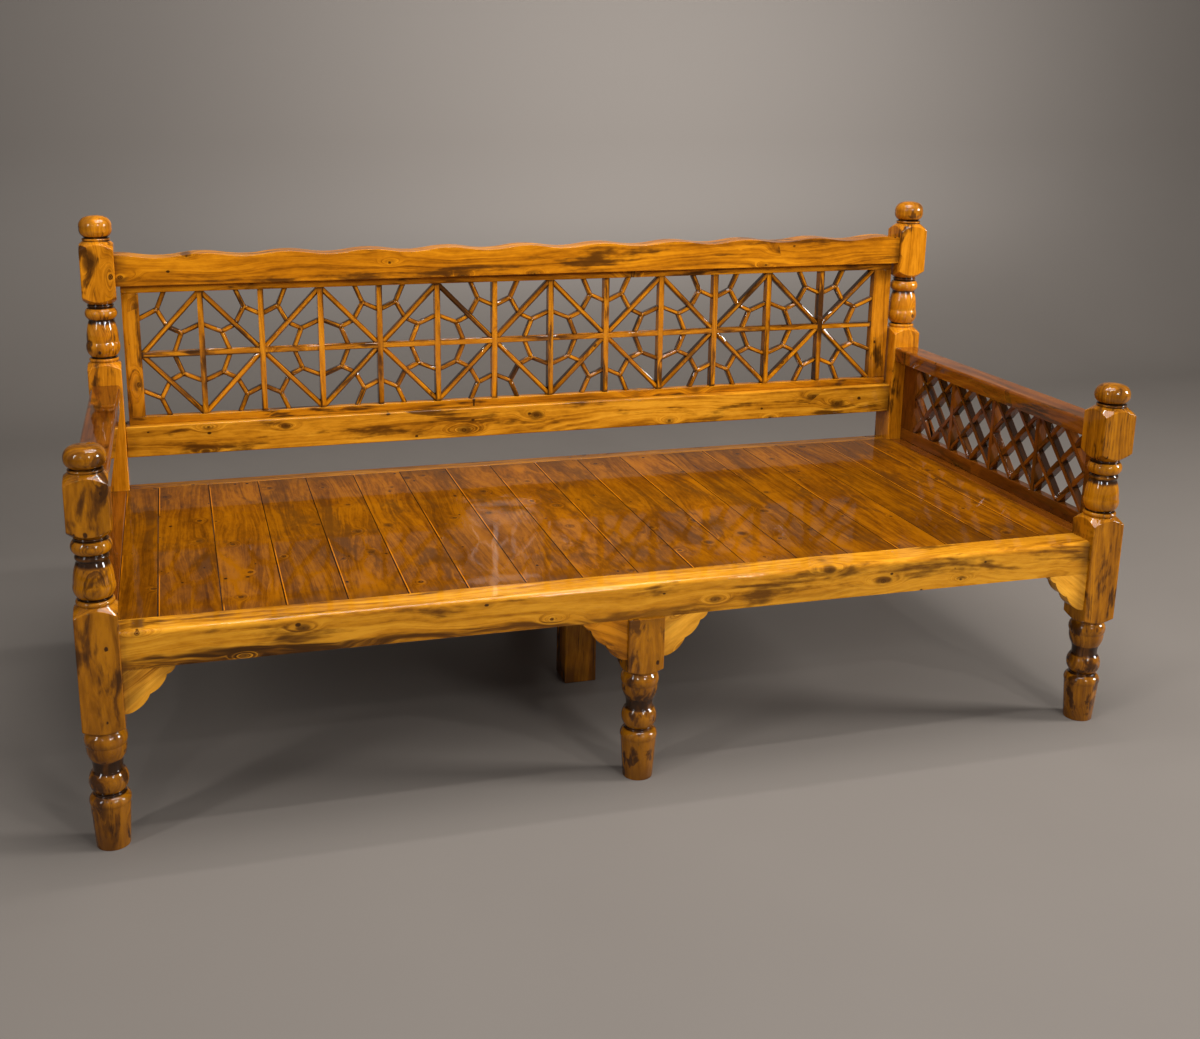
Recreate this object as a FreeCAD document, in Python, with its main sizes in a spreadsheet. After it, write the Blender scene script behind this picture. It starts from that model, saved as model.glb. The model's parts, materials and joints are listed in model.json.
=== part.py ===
"""A Persian takht: a wide pine daybed on turned posts, with a boarded seat, a lattice back and lattice arms.

Length runs along X, depth along Y with the open front at -Y, and the floor is at Z = 0.
The origin is on the floor in the middle of the four corner posts. Everything is in millimetres.
"""
import FreeCAD, Part
import Sketcher
import math
import os
import re

# Driving sizes
SIZES = {
    # The whole and its four corner posts
    "takht_length": 2000,
    "takht_depth": 900,
    "post_size": 70,
    "seat_height": 396,
    # Square blocks of the posts past the rails they carry, and the height of the finials.
    # Each is taken where a turned shoulder meets the middle of a face.
    "leg_block_below_rail": 108,
    "front_block_above_seat": 43,
    "front_block_below_arm": 68,
    "front_block_above_arm": 30,
    "front_finial_height": 50,
    "back_block_above_arm": 45,
    "back_block_below_rail": 32,
    "back_block_above_rail": 27,
    "back_finial_height": 60,
    # Legs between the corners
    "middle_leg_offset": -10,
    "bearer_offset": 35,
    # Seat rails, bearer, ledgers and boards
    "rail_height": 67,
    "rail_setback": 7,
    "front_rail_thickness": 58,
    "side_rail_thickness": 58,
    "back_rail_thickness": 38,
    "back_seat_setback": 5,
    "rail_round": 9,
    "bearer_width": 58,
    "ledger_width": 25,
    "ledger_height": 30,
    "board_thickness": 20,
    "board_gap": 0.8,
    # The two rails of the back, the upper one with a waved top
    "backrest_thickness": 60,
    "lower_rail_rise": 72,
    "lower_rail_height": 69,
    "upper_rail_height": 63,
    # The lattice of the back, with its battens
    "panel_height": 310,
    "lattice_setback": 25,
    "lattice_depth": 20,
    "batten_height": 17.5,
    "panel_side_gap": 8,
    "left_stile_width": 35.6,
    "right_stile_width": 46.3,
    "column_growth": 0.567,
    "upright_width": 12.5,
    "diagonal_width": 12,
    "ring_bar_width": 10.5,
    "bar_step": 1,
    # The arms
    "arm_rise": 238,
    "arm_rail_width": 60,
    "arm_rail_height": 34,
    "arm_rail_round": 6,
    "arm_sill_height": 30,
    "arm_panel_setback": 35,
    "arm_lattice_depth": 20,
    "arm_front_stile": 25,
    "arm_rear_stile": 60,
    "arm_bar_width": 12,
    # The scalloped brackets under the front rail
    "bracket_length": 86,
    "bracket_height": 79,
    "bracket_thickness": 28,
    # Mortise and tenon joints
    "tenon_length": 24,
    "tenon_thickness": 20,
    "tenon_play": 0.2,
    "tenon_end_play": 1,
    "notch_play": 0.5,
    # How far the straight cuts of a turned swell may stray from its round
    "turning_flat": 1.6,
    # How far a cutting shape runs past what it cuts
    "cut_overrun": 5,
}

# Part of a rail's height, or of a leg's width, that its tenon keeps
TENON_SHARE = 0.6

# Rise of the turned shoulders for each unit of radius, under and over a square block
LOW_SHOULDER_SHARE = 0.5
HIGH_SHOULDER_SHARE = 0.8

# Reach of a turning cut as a share of half the post, past its corners at the square root of two
CLEAR_SHARE = 1.5

# Turned outlines from the bottom up. Each row is a radius as a share of half the post, a height as
# a share of the turned stretch, and the swell of the next stretch as a share of its own length.
LEG_SHARES = [
    (0.815, 0.0, 0),
    (0.97, 0.365, 0.2),
    (0.8, 0.445, 0),
    (0.71, 0.454, 0),
    (0.72, 0.465, 0.2),
    (0.72, 0.65, -0.05),
    (0.78, 0.735, 0.08),
    (0.965, 0.862, 0.16),
    (0.875, 0.968, 0),
    (0.845, 0.98, 0),
]
FRONT_WAIST_SHARES = [
    (0.83, 0.034, 0.42),
    (0.76, 0.105, 0),
    (0.7, 0.113, 0.17),
    (0.95, 0.33, 0.05),
    (0.73, 0.625, 0),
    (0.75, 0.64, 0.2),
    (0.75, 0.708, 0),
    (0.72, 0.715, 0),
    (0.8, 0.735, 0.235),
    (0.81, 0.908, 0),
    (0.73, 0.918, 0),
    (0.76, 0.928, 0.3),
    (0.76, 0.95, 0),
    (0.8, 0.956, 0),
]
BACK_WAIST_SHARES = [
    (0.83, 0.03, 0.42),
    (0.76, 0.088, 0),
    (0.71, 0.095, 0.17),
    (0.955, 0.35, 0.05),
    (0.76, 0.69, 0),
    (0.8, 0.712, 0.25),
    (0.8, 0.888, 0),
    (0.72, 0.897, 0),
    (0.74, 0.905, 0.35),
    (0.74, 0.943, 0),
    (0.72, 0.95, 0),
    (0.8, 0.959, 0),
]
FINIAL_SHARES = [
    (0.78, 0.115, 0.45),
    (0.72, 0.215, 0),
    (0.66, 0.228, 0.17),
    (0.97, 0.56, 0.2),
    (0.5, 0.965, 0.03),
]

# Scallops of a bracket from the post outwards, as shares of its length and height, with their swell
SCALLOP_SHARES = [
    (0.0, 1.0, 0.08),
    (0.22, 0.93, 0.09),
    (0.49, 0.59, 0.12),
    (0.83, 0.18, 0.14),
]

# The waved rail: half waves after the first quarter wave, and the swell of each
WAVE_HALVES = 20
WAVE_SHARE = 0.045

# The lattice of the back, in units of one column and of half the lattice's height
COLUMNS = 13
RING_SHARE = 0.47
RING_CORNER_SHARE = 0.332
HALF_RING_SHARE = 0.41
HALF_RING_CORNER_SHARES = (0.284, 0.28)
LINK_SHARE = 0.44

# The lattice of an arm, in columns along its depth
ARM_COLUMNS = 8

# Boards of the seat, and the width of its two end boards as a share of the others'
BOARDS = 18
FIRST_BOARD_SHARE = 0.617
LAST_BOARD_SHARE = 0.765

doc = FreeCAD.newDocument("takht")
sheet = doc.addObject("Spreadsheet::Sheet", "sizes")
for row, (alias, size) in enumerate(SIZES.items(), 1):
    sheet.set(f"A{row}", alias)
    sheet.set(f"B{row}", str(size))
    sheet.setAlias(f"B{row}", alias)
doc.recompute()


def named(expression):
    """The expression with each size written as its cell of the sheet."""
    return re.sub(r"[a-z]+(?:_[a-z]+)+", lambda word: "sizes." + word.group(), expression)


def value(expression):
    return float(sheet.evalExpression(named(expression)))


def bind(thing, path, expression):
    thing.setExpression(path, named(expression))


finished = []


def finish(thing, label):
    """Name a finished piece, so that it is exported."""
    thing.Label = label
    finished.append(thing)
    return thing


# Faces and centres that several pieces share
POST_FACE_X = "(takht_length / 2 - post_size)"
POST_FACE_Y = "(takht_depth / 2 - post_size)"
POST_X = "(takht_length / 2 - post_size / 2)"
POST_Y = "(takht_depth / 2 - post_size / 2)"
RAIL_BOTTOM = "(seat_height - rail_height)"
BOARD_BOTTOM = "(seat_height - board_thickness)"
FRONT_RAIL = (
    "rail_setback - takht_depth / 2",
    "rail_setback - takht_depth / 2 + front_rail_thickness",
)
BACK_RAIL = (
    f"{POST_FACE_Y} + back_seat_setback",
    f"{POST_FACE_Y} + back_seat_setback + back_rail_thickness",
)
SIDE_RAIL_IN_X = f"({POST_X} - side_rail_thickness / 2)"
BACKREST = (f"{POST_FACE_Y} + rail_setback", f"{POST_FACE_Y} + rail_setback + backrest_thickness")
LATTICE = (
    f"{POST_FACE_Y} + lattice_setback",
    f"{POST_FACE_Y} + lattice_setback + lattice_depth",
)
LOWER_RAIL_BOTTOM = "(seat_height + lower_rail_rise)"
LOWER_RAIL_TOP = f"({LOWER_RAIL_BOTTOM} + lower_rail_height)"
UPPER_RAIL_BOTTOM = f"({LOWER_RAIL_TOP} + panel_height)"
UPPER_RAIL_TOP = f"({UPPER_RAIL_BOTTOM} + upper_rail_height)"
ARM_TOP = "(seat_height + arm_rise)"
ARM_RAIL_BOTTOM = f"({ARM_TOP} - arm_rail_height)"
ARM_SILL_TOP = "(seat_height + arm_sill_height)"

# Where the turned stretches of the posts begin and end, from the bottom up
LEG_TOP = f"({RAIL_BOTTOM} - leg_block_below_rail)"
FRONT_POST = {
    "waist": ("(seat_height + front_block_above_seat)", f"({ARM_TOP} - front_block_below_arm)"),
    "finial": (
        f"({ARM_TOP} + front_block_above_arm)",
        f"({ARM_TOP} + front_block_above_arm + front_finial_height)",
    ),
}
BACK_POST = {
    "waist": (f"({ARM_TOP} + back_block_above_arm)", f"({UPPER_RAIL_BOTTOM} - back_block_below_rail)"),
    "finial": (
        f"({UPPER_RAIL_TOP} + back_block_above_rail)",
        f"({UPPER_RAIL_TOP} + back_block_above_rail + back_finial_height)",
    ),
}


def block(name, across, deep, tall):
    """A squared piece between two faces on each axis."""
    piece = doc.addObject("Part::Box", name)
    for axis, size, (low, high) in zip("xyz", ("Length", "Width", "Height"), (across, deep, tall)):
        bind(piece, f"Placement.Base.{axis}", low)
        bind(piece, size, f"({high}) - ({low})")
    return piece


def joined(name, pieces):
    union = doc.addObject("Part::MultiFuse", name)
    union.Shapes = pieces
    union.Refine = True
    return union


def cut(name, stock, tools):
    """The stock less every tool."""
    group = doc.addObject("Part::Compound", name + "_cuts")
    group.Links = tools
    rest = doc.addObject("Part::Cut", name)
    rest.Base = stock
    rest.Tool = group
    return rest


def outline(sketch, corners):
    """Close a loop through the corners, each an x, a y and the swell of the edge that follows.

    The swell is the height of the arc as a share of its chord, to the right of the way round.
    """
    points = [FreeCAD.Vector(value(x), value(y), 0) for x, y, swell in corners]
    ends = []
    arcs = []
    for here, there, (x, y, swell), (x2, y2, _) in zip(
        points, points[1:] + points[:1], corners, corners[1:] + corners[:1]
    ):
        if not swell:
            edge = sketch.addGeometry(Part.LineSegment(here, there))
            ends.append((edge, 1, 2))
            continue
        factor = (0.25 + swell * swell) / (2 * abs(swell))
        chord = there - here
        radius = chord.Length * factor
        right = FreeCAD.Vector(chord.y, -chord.x, 0).normalize()
        centre = (here + there) / 2 + right * (chord.Length * swell - math.copysign(radius, swell))
        first, last = (here, there) if swell > 0 else (there, here)
        start = math.atan2(first.y - centre.y, first.x - centre.x)
        end = math.atan2(last.y - centre.y, last.x - centre.x)
        circle = Part.Circle(centre, FreeCAD.Vector(0, 0, 1), radius)
        if end < start:
            end += 2 * math.pi
        edge = sketch.addGeometry(Part.ArcOfCircle(circle, start, end))
        ends.append((edge, 1, 2) if swell > 0 else (edge, 2, 1))
        arcs.append((edge, radius, f"sqrt(({x2} - ({x}))^2 + ({y2} - ({y}))^2) * {factor:.9f}"))

    rules = []
    bound = []
    for (edge, _, last), (following, first, _) in zip(ends, ends[1:] + ends[:1]):
        rules.append(Sketcher.Constraint("Coincident", edge, last, following, first))
    for (edge, first, _), point, (x, y, _) in zip(ends, points, corners):
        for kind, distance, expression, other_axis in (
            ("DistanceX", point.x, x, -2),
            ("DistanceY", point.y, y, -1),
        ):
            if expression == "0":
                rules.append(Sketcher.Constraint("PointOnObject", edge, first, other_axis))
            elif distance > 0:
                bound.append((len(rules), expression))
                rules.append(Sketcher.Constraint(kind, -1, 1, edge, first, distance))
            else:
                bound.append((len(rules), f"-({expression})"))
                rules.append(Sketcher.Constraint(kind, edge, first, -1, 1, -distance))
    for edge, radius, expression in arcs:
        bound.append((len(rules), expression))
        rules.append(Sketcher.Constraint("Radius", edge, radius))
    sketch.addConstraint(rules)
    for index, expression in bound:
        bind(sketch, f"Constraints[{index}]", expression)


def sketched(body, name, plane, corners):
    """A sketch of one closed outline on a plane through the body's origin."""
    sketch = body.newObject("Sketcher::SketchObject", name)
    support = next(feature for feature in body.Origin.OriginFeatures if feature.Role == plane)
    sketch.AttachmentSupport = [(support, "")]
    sketch.MapMode = "FlatFace"
    outline(sketch, corners)
    return sketch


def padded(name, plane, corners, length, both_ways):
    """A body padded from one outline, to one side of its plane or evenly to both."""
    body = doc.addObject("PartDesign::Body", name)
    pad = body.newObject("PartDesign::Pad", name + "_pad")
    pad.Profile = sketched(body, name + "_outline", plane, corners)
    pad.SideType = "Symmetric" if both_ways else "One side"
    bind(pad, "Length", length)
    return body


def place(body, x, y, z):
    for axis, expression in zip("xyz", (x, y, z)):
        bind(body, f"Placement.Base.{axis}", expression)


def square(size):
    """Corners of a square about the origin."""
    low, high = f"-{size} / 2", f"{size} / 2"
    return [(low, low, 0), (high, low, 0), (high, high, 0), (low, high, 0)]


# Turned posts
HALF = "post_size / 2"


def swelled(start, end, swell):
    """The points between two corners of a turned outline that follow the round of a swell."""
    (radius, height), (radius2, height2) = start, end
    wide, tall = value(f"{radius2} - ({radius})"), value(f"{height2} - ({height})")
    sagitta = abs(swell) * math.hypot(wide, tall)
    cuts = max(1, math.ceil(math.sqrt(sagitta / value("turning_flat"))))
    points = []
    for number in range(1, cuts):
        quarter = math.atan(2 * swell)
        turn = 2 * quarter * (2 * number / cuts - 1)
        size = (0.25 + swell * swell) / (2 * swell)
        along = 0.5 + size * math.sin(turn)
        out = size * (math.cos(turn) - math.cos(2 * quarter))
        across, up = f"({radius2} - ({radius}))", f"({height2} - ({height}))"
        points.append((
            f"{radius} + {along:.6f} * {across} + {out:.6f} * {up}",
            f"{height} + {along:.6f} * {up} - {out:.6f} * {across}",
        ))
    return points


def turned(body, name, shares, bottom, top, foot=False, crown=False):
    """Turn one stretch of a square post down to its outline, between two square shoulders."""
    rim = f"{CLEAR_SHARE} * {HALF}"
    spread = f"({CLEAR_SHARE} - 1) * {HALF}"
    stretch = f"({top} - {bottom})"
    rows = [(f"{radius} * {HALF}", f"{bottom} + {height} * {stretch}") for radius, height, _ in shares]
    if crown:
        rows.append(("0", top))
    points = []
    for here, there, (_, _, swell) in zip(rows, rows[1:], shares):
        points.append(here)
        if swell:
            points += swelled(here, there, swell)
    points.append(rows[-1])
    if foot:
        points[0] = (points[0][0], "0")
        points.insert(0, (rim, "0"))
    else:
        points.insert(0, (rim, f"{bottom} - {HIGH_SHOULDER_SHARE} * {spread}"))
    if crown:
        points += [("0", f"{top} + cut_overrun"), (rim, f"{top} + cut_overrun")]
    else:
        slope = LOW_SHOULDER_SHARE if foot else HIGH_SHOULDER_SHARE
        points.append((rim, f"{top} + {slope} * {spread}"))
    groove = body.newObject("PartDesign::Groove", name)
    groove.Profile = sketched(body, name + "_outline", "XZ_Plane", [(x, y, 0) for x, y in points])
    groove.ReferenceAxis = (groove.Profile[0], ["V_Axis"])
    groove.Angle = 360


def corner_post(end, hand, rails):
    """A square post turned at its leg, its waist and its finial, with a mortise for each rail."""
    label = f"post_{end}_{hand}"
    heights = FRONT_POST if end == "front" else BACK_POST
    waist = FRONT_WAIST_SHARES if end == "front" else BACK_WAIST_SHARES
    body = padded(label + "_turned", "XY_Plane", square("post_size"), heights["finial"][1], False)
    turned(body, label + "_leg", LEG_SHARES, "0", LEG_TOP, foot=True)
    turned(body, label + "_waist", waist, *heights["waist"])
    turned(body, label + "_finial", FINIAL_SHARES, *heights["finial"], crown=True)
    x = POST_X if hand == "right" else f"-{POST_X}"
    y = POST_Y if end == "back" else f"-{POST_Y}"
    place(body, x, y, "0")
    names = [*rails, f"seat_rail_{hand}", f"arm_rail_{hand}"]
    return finish(cut(label, body, [sockets[name] for name in names]), label)


# Rails with a stub tenon at each end
def tenon(name, stock, along, play):
    """The long block that makes both end tenons of a rail, or both mortises with some play."""
    faces = []
    for axis, (low, high) in enumerate(stock):
        if axis == along:
            reach = "tenon_length + tenon_end_play" if play else "tenon_length"
            faces.append((f"{low} - ({reach})", f"{high} + ({reach})"))
            continue
        half = f"{TENON_SHARE} * ({high} - ({low})) / 2" if axis == 2 else "tenon_thickness / 2"
        if play:
            half = f"({half} + tenon_play)"
        middle = f"({high} + ({low})) / 2"
        faces.append((f"{middle} - {half}", f"{middle} + {half}"))
    return block(name, *faces)


def stub(name, x, y, base, play):
    """The tenon on top of a leg, or its mortise in the rail above."""
    half_x, half_y, reach = f"{TENON_SHARE} * {HALF}", "tenon_thickness / 2", "tenon_length"
    if play:
        half_x, half_y = f"({half_x} + tenon_play)", f"({half_y} + tenon_play)"
        reach = "tenon_length + tenon_end_play"
    return block(
        name,
        (f"{x} - {half_x}", f"{x} + {half_x}"),
        (f"{y} - {half_y}", f"{y} + {half_y}"),
        (f"{base} - cut_overrun", f"{base} + {reach}"),
    )


def middle(low, high):
    return f"({low} + ({high})) / 2"


def mirrored(side, low, high):
    """Two faces given for the right side, or their mirror image on the left."""
    return (low, high) if side > 0 else (f"-({high})", f"-({low})")


BETWEEN_POSTS_X = (f"-{POST_FACE_X}", POST_FACE_X)
BETWEEN_POSTS_Y = (f"-{POST_FACE_Y}", POST_FACE_Y)
RAIL_TALL = (RAIL_BOTTOM, "seat_height")
BEARER_TALL = (RAIL_BOTTOM, BOARD_BOTTOM)
BEARER_DEEP = ("bearer_offset - bearer_width / 2", "bearer_offset + bearer_width / 2")

STOCKS = {
    "seat_rail_front": (BETWEEN_POSTS_X, FRONT_RAIL, RAIL_TALL, 0),
    "seat_rail_back": (BETWEEN_POSTS_X, BACK_RAIL, RAIL_TALL, 0),
    "seat_bearer": ((f"-{SIDE_RAIL_IN_X}", SIDE_RAIL_IN_X), BEARER_DEEP, BEARER_TALL, 0),
    "back_rail_lower": (BETWEEN_POSTS_X, BACKREST, (LOWER_RAIL_BOTTOM, LOWER_RAIL_TOP), 0),
    "back_rail_upper": (BETWEEN_POSTS_X, BACKREST, (UPPER_RAIL_BOTTOM, UPPER_RAIL_TOP), 0),
}
for side, hand in ((-1, "left"), (1, "right")):
    side_rail = mirrored(side, SIDE_RAIL_IN_X, f"{SIDE_RAIL_IN_X} + side_rail_thickness")
    arm_rail = mirrored(side, f"{POST_X} - arm_rail_width / 2", f"{POST_X} + arm_rail_width / 2")
    STOCKS[f"seat_rail_{hand}"] = (side_rail, BETWEEN_POSTS_Y, RAIL_TALL, 1)
    STOCKS[f"arm_rail_{hand}"] = (arm_rail, BETWEEN_POSTS_Y, (ARM_RAIL_BOTTOM, ARM_TOP), 1)

sockets = {
    name: tenon(name + "_socket", stock[:3], stock[3], True)
    for name, stock in STOCKS.items()
}


def rail(label, timber=None, cuts=()):
    """A rail with its two tenons, from plain stock or from a shaped timber, and any mortises in it."""
    across, deep, tall, along = STOCKS[label]
    timber = timber or block(label + "_timber", across, deep, tall)
    core = tenon(label + "_tenons", (across, deep, tall), along, False)
    if not cuts:
        return finish(joined(label, [timber, core]), label)
    return finish(cut(label, joined(label + "_tenoned", [timber, core]), list(cuts)), label)


def rounded_rail(label, round_size, front_only):
    """A timber rounded along its upper edges, or along its upper front edge alone."""
    across, deep, tall, along = STOCKS[label]
    wide = deep if along == 0 else across
    low, high = (f"{face} - ({middle(*wide)})" for face in wide)
    height = f"({tall[1]} - ({tall[0]}))"
    bulge = (math.sqrt(2) - 1) / 2
    section = [(low, "0", 0), (high, "0", 0)]
    if front_only:
        section.append((high, height, 0))
    else:
        section += [(high, f"{height} - {round_size}", bulge), (f"{high} - {round_size}", height, 0)]
    section += [(f"{low} + {round_size}", height, bulge), (low, f"{height} - {round_size}", 0)]
    ends = across if along == 0 else deep
    body = padded(
        label + "_timber",
        "YZ_Plane" if along == 0 else "XZ_Plane",
        section,
        f"{ends[1]} - ({ends[0]})",
        True,
    )
    if along == 0:
        place(body, "0", middle(*wide), tall[0])
    else:
        place(body, middle(*wide), "0", tall[0])
    return body


# Seat frame
LEGS = {
    "leg_front_middle": ("middle_leg_offset", middle(*FRONT_RAIL), f"-{POST_Y}"),
    "leg_back_middle": ("middle_leg_offset", middle(*BACK_RAIL), POST_Y),
    "leg_centre": ("0", "bearer_offset", "bearer_offset"),
}


def leg(label, is_turned):
    """A leg under the middle of a rail, turned like the corner legs or left square."""
    x, joint_y, y = LEGS[label]
    body = padded(label + "_timber", "XY_Plane", square("post_size"), RAIL_BOTTOM, False)
    if is_turned:
        turned(body, label + "_leg", LEG_SHARES, "0", LEG_TOP, foot=True)
    place(body, x, y, "0")
    tenon_on_top = stub(label + "_tenon", x, joint_y, RAIL_BOTTOM, False)
    return finish(joined(label, [body, tenon_on_top]), label)


def leg_socket(label):
    x, joint_y, _ = LEGS[label]
    return stub(label + "_socket", x, joint_y, RAIL_BOTTOM, True)


for hand in ("left", "right"):
    corner_post("front", hand, ["seat_rail_front"])
    corner_post("back", hand, ["seat_rail_back", "back_rail_lower", "back_rail_upper"])

leg("leg_front_middle", True)
leg("leg_back_middle", False)
leg("leg_centre", False)

rail(
    "seat_rail_front",
    rounded_rail("seat_rail_front", "rail_round", True),
    [leg_socket("leg_front_middle")],
)
rail("seat_rail_back", cuts=[leg_socket("leg_back_middle")])
rail("seat_rail_left", cuts=[sockets["seat_bearer"]])
rail("seat_rail_right", cuts=[sockets["seat_bearer"]])
rail("seat_bearer", cuts=[leg_socket("leg_centre")])

LEDGER_TALL = (f"{BOARD_BOTTOM} - ledger_height", BOARD_BOTTOM)
for label, deep in (
    ("seat_ledger_front", (FRONT_RAIL[1], f"{FRONT_RAIL[1]} + ledger_width")),
    ("seat_ledger_back", (f"{BACK_RAIL[0]} - ledger_width", BACK_RAIL[0])),
):
    finish(block(label, BETWEEN_POSTS_X, deep, LEDGER_TALL), label)


# Seat boards
def post_notch(name, side, end):
    """The square of a corner post with some play, to notch the end boards round it."""
    grown = f"({HALF} + notch_play)"
    x, y = f"{side} * {POST_X}", f"{end} * {POST_Y}"
    return block(
        name,
        (f"{x} - {grown}", f"{x} + {grown}"),
        (f"{y} - {grown}", f"{y} + {grown}"),
        ("0", ARM_TOP),
    )


def seam(number):
    """Where a board ends, counted in whole boards past the narrower first one."""
    whole = FIRST_BOARD_SHARE + BOARDS - 2 + LAST_BOARD_SHARE
    share = (FIRST_BOARD_SHARE + number) / whole
    return f"({share:.9f} * 2 * {SIDE_RAIL_IN_X} - {SIDE_RAIL_IN_X})"


def seat_boards():
    """Boards from the front rail to the back one, the end ones narrower and notched."""
    for number in range(BOARDS):
        label = f"seat_board_{number + 1:02d}"
        left, right = f"{seam(number - 1)} + board_gap", seam(number)
        if number == 0:
            left = f"-{SIDE_RAIL_IN_X}"
        if number == BOARDS - 1:
            right = SIDE_RAIL_IN_X
        faces = (left, right), (FRONT_RAIL[1], BACK_RAIL[0]), (BOARD_BOTTOM, "seat_height")
        if 0 < number < BOARDS - 1:
            finish(block(label, *faces), label)
            continue
        side = -1 if number == 0 else 1
        notches = [
            post_notch(f"{label}_notch_front", side, -1),
            post_notch(f"{label}_notch_back", side, 1),
        ]
        finish(cut(label, block(label + "_plank", *faces), notches), label)


seat_boards()


# Back
def waved_timber(label):
    """The upper back rail, its top a run of shallow waves that starts on a crest at the left."""
    length = f"2 * {POST_FACE_X}"
    crest = f"upper_rail_height + {WAVE_SHARE} * {length} / {WAVE_HALVES + 0.5}"
    corners = [("0", "0", 0), (length, "0", 0)]
    for half in range(WAVE_HALVES, -1, -1):
        swell = WAVE_SHARE if half % 2 == 0 else -WAVE_SHARE
        at = f"{(half + 0.5) / (WAVE_HALVES + 0.5):.9f} * {length}"
        corners.append((length if half == WAVE_HALVES else at, "upper_rail_height", swell))
    corners[-1] = (corners[-1][0], corners[-1][1], WAVE_SHARE / 2)
    corners.append(("0", crest, 0))
    body = padded(label + "_timber", "XZ_Plane", corners, "backrest_thickness", True)
    place(body, f"-{POST_FACE_X}", middle(*BACKREST), UPPER_RAIL_BOTTOM)
    return body


rail("back_rail_lower")
rail("back_rail_upper", waved_timber("back_rail_upper"))

PANEL_LEFT = f"(panel_side_gap - {POST_FACE_X})"
PANEL_RIGHT = f"({POST_FACE_X} - panel_side_gap)"
LATTICE_BOTTOM = f"({LOWER_RAIL_TOP} + batten_height)"
LATTICE_TOP = f"({UPPER_RAIL_BOTTOM} - batten_height)"
LATTICE_LEFT = f"({PANEL_LEFT} + left_stile_width)"
LATTICE_RIGHT = f"({PANEL_RIGHT} - right_stile_width)"
for label, across, tall in (
    ("back_batten_lower", (PANEL_LEFT, PANEL_RIGHT), (LOWER_RAIL_TOP, LATTICE_BOTTOM)),
    ("back_batten_upper", (PANEL_LEFT, PANEL_RIGHT), (LATTICE_TOP, UPPER_RAIL_BOTTOM)),
    ("back_stile_left", (PANEL_LEFT, LATTICE_LEFT), (LATTICE_BOTTOM, LATTICE_TOP)),
    ("back_stile_right", (LATTICE_RIGHT, PANEL_RIGHT), (LATTICE_BOTTOM, LATTICE_TOP)),
):
    finish(block(label, across, LATTICE, tall), label)


# Bars cut to fit one another, drawn flat in a panel of width u and height v
def flat(u, v):
    return FreeCAD.Vector(u, v, 0)


def kept(corners, point, inward):
    """The part of a convex outline on the inward side of a line through the point."""
    rest = []
    for here, there in zip(corners, corners[1:] + corners[:1]):
        near, far = (here - point).dot(inward), (there - point).dot(inward)
        if near >= 0:
            rest.append(here)
        if near * far < 0:
            rest.append(here + (there - here) * (near / (near - far)))
    return rest


def direction(start, end):
    return (end - start).normalize()


def leftward(along):
    return flat(-along.y, along.x)


def bar(start, end, width, cuts):
    """The outline of a straight bar, trimmed to the kept side of each cut at its ends."""
    along = direction(start, end)
    side = leftward(along) * (width / 2)
    start, end = start - along * width, end + along * width
    corners = [start - side, end - side, end + side, start + side]
    for point, inward in cuts:
        corners = kept(corners, point, inward)
    return corners


def shoulder(point, inward, gap):
    """A cut along the face of another bar that lies half its width away from the point."""
    return point + inward * gap, inward


def fitted(node, along, others):
    """Cuts through a node halfway between a bar that leaves it along one way and its neighbours."""
    return [(node, along - other) for other in others]


def panel(label, outlines, depth, placement):
    """Every outline padded to the depth of its bar, as one lattice of separate solids."""
    solids = []
    for corners in outlines:
        face = Part.Face(Part.makePolygon(corners + corners[:1]))
        solids.append(face.extrude(FreeCAD.Vector(0, 0, depth)))
    return lattice(label, solids, placement)


def lattice(label, solids, placement):
    bars = doc.addObject("Part::Feature", label)
    bars.Shape = Part.makeCompound(solids)
    bars.Placement = placement
    return finish(bars, label)


def column(place_along):
    """Where a column of the back's lattice stands. Each column is a little wider than the one before."""
    left, right = value(LATTICE_LEFT), value(LATTICE_RIGHT)
    even = left + (right - left) * place_along / COLUMNS
    return even + value("column_growth") * place_along * (place_along - COLUMNS)


def level(place_up):
    """A height in the back's lattice, from -1 at its foot to 1 at its head."""
    low, high = value(LATTICE_BOTTOM), value(LATTICE_TOP)
    return (low + high) / 2 + place_up * (high - low) / 2


def knot(place_along, place_up):
    return flat(column(place_along), level(place_up))


UP, DOWN = flat(0, 1), flat(0, -1)
RIGHT, LEFT = flat(1, 0), flat(-1, 0)


def sideways(sign):
    return RIGHT if sign > 0 else LEFT


def upward(sign):
    return UP if sign > 0 else DOWN


def upright_gap(place_along):
    """Half an upright, or nothing where the column is the edge of a stile."""
    return value("upright_width") / 2 if 0 < place_along < COLUMNS else 0


def level_gap(place_up):
    """Half the middle bar, or nothing at the edge of a batten."""
    return value("upright_width") / 2 if place_up == 0 else 0


def diagonal_bars():
    """Two bars from each star to the head and two to the foot of the columns beside it."""
    bars = []
    for star in range(0, COLUMNS + 1, 2):
        for across in (-1, 1):
            if not 0 <= star + across <= COLUMNS:
                continue
            for up in (-1, 1):
                start, end = knot(star, 0), knot(star + across, up)
                cuts = [
                    shoulder(start, sideways(across), upright_gap(star)),
                    shoulder(start, upward(up), level_gap(0)),
                    shoulder(end, sideways(-across), upright_gap(star + across)),
                    shoulder(end, upward(-up), level_gap(up)),
                ]
                bars.append(bar(start, end, value("diagonal_width"), cuts))
    return bars


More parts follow.
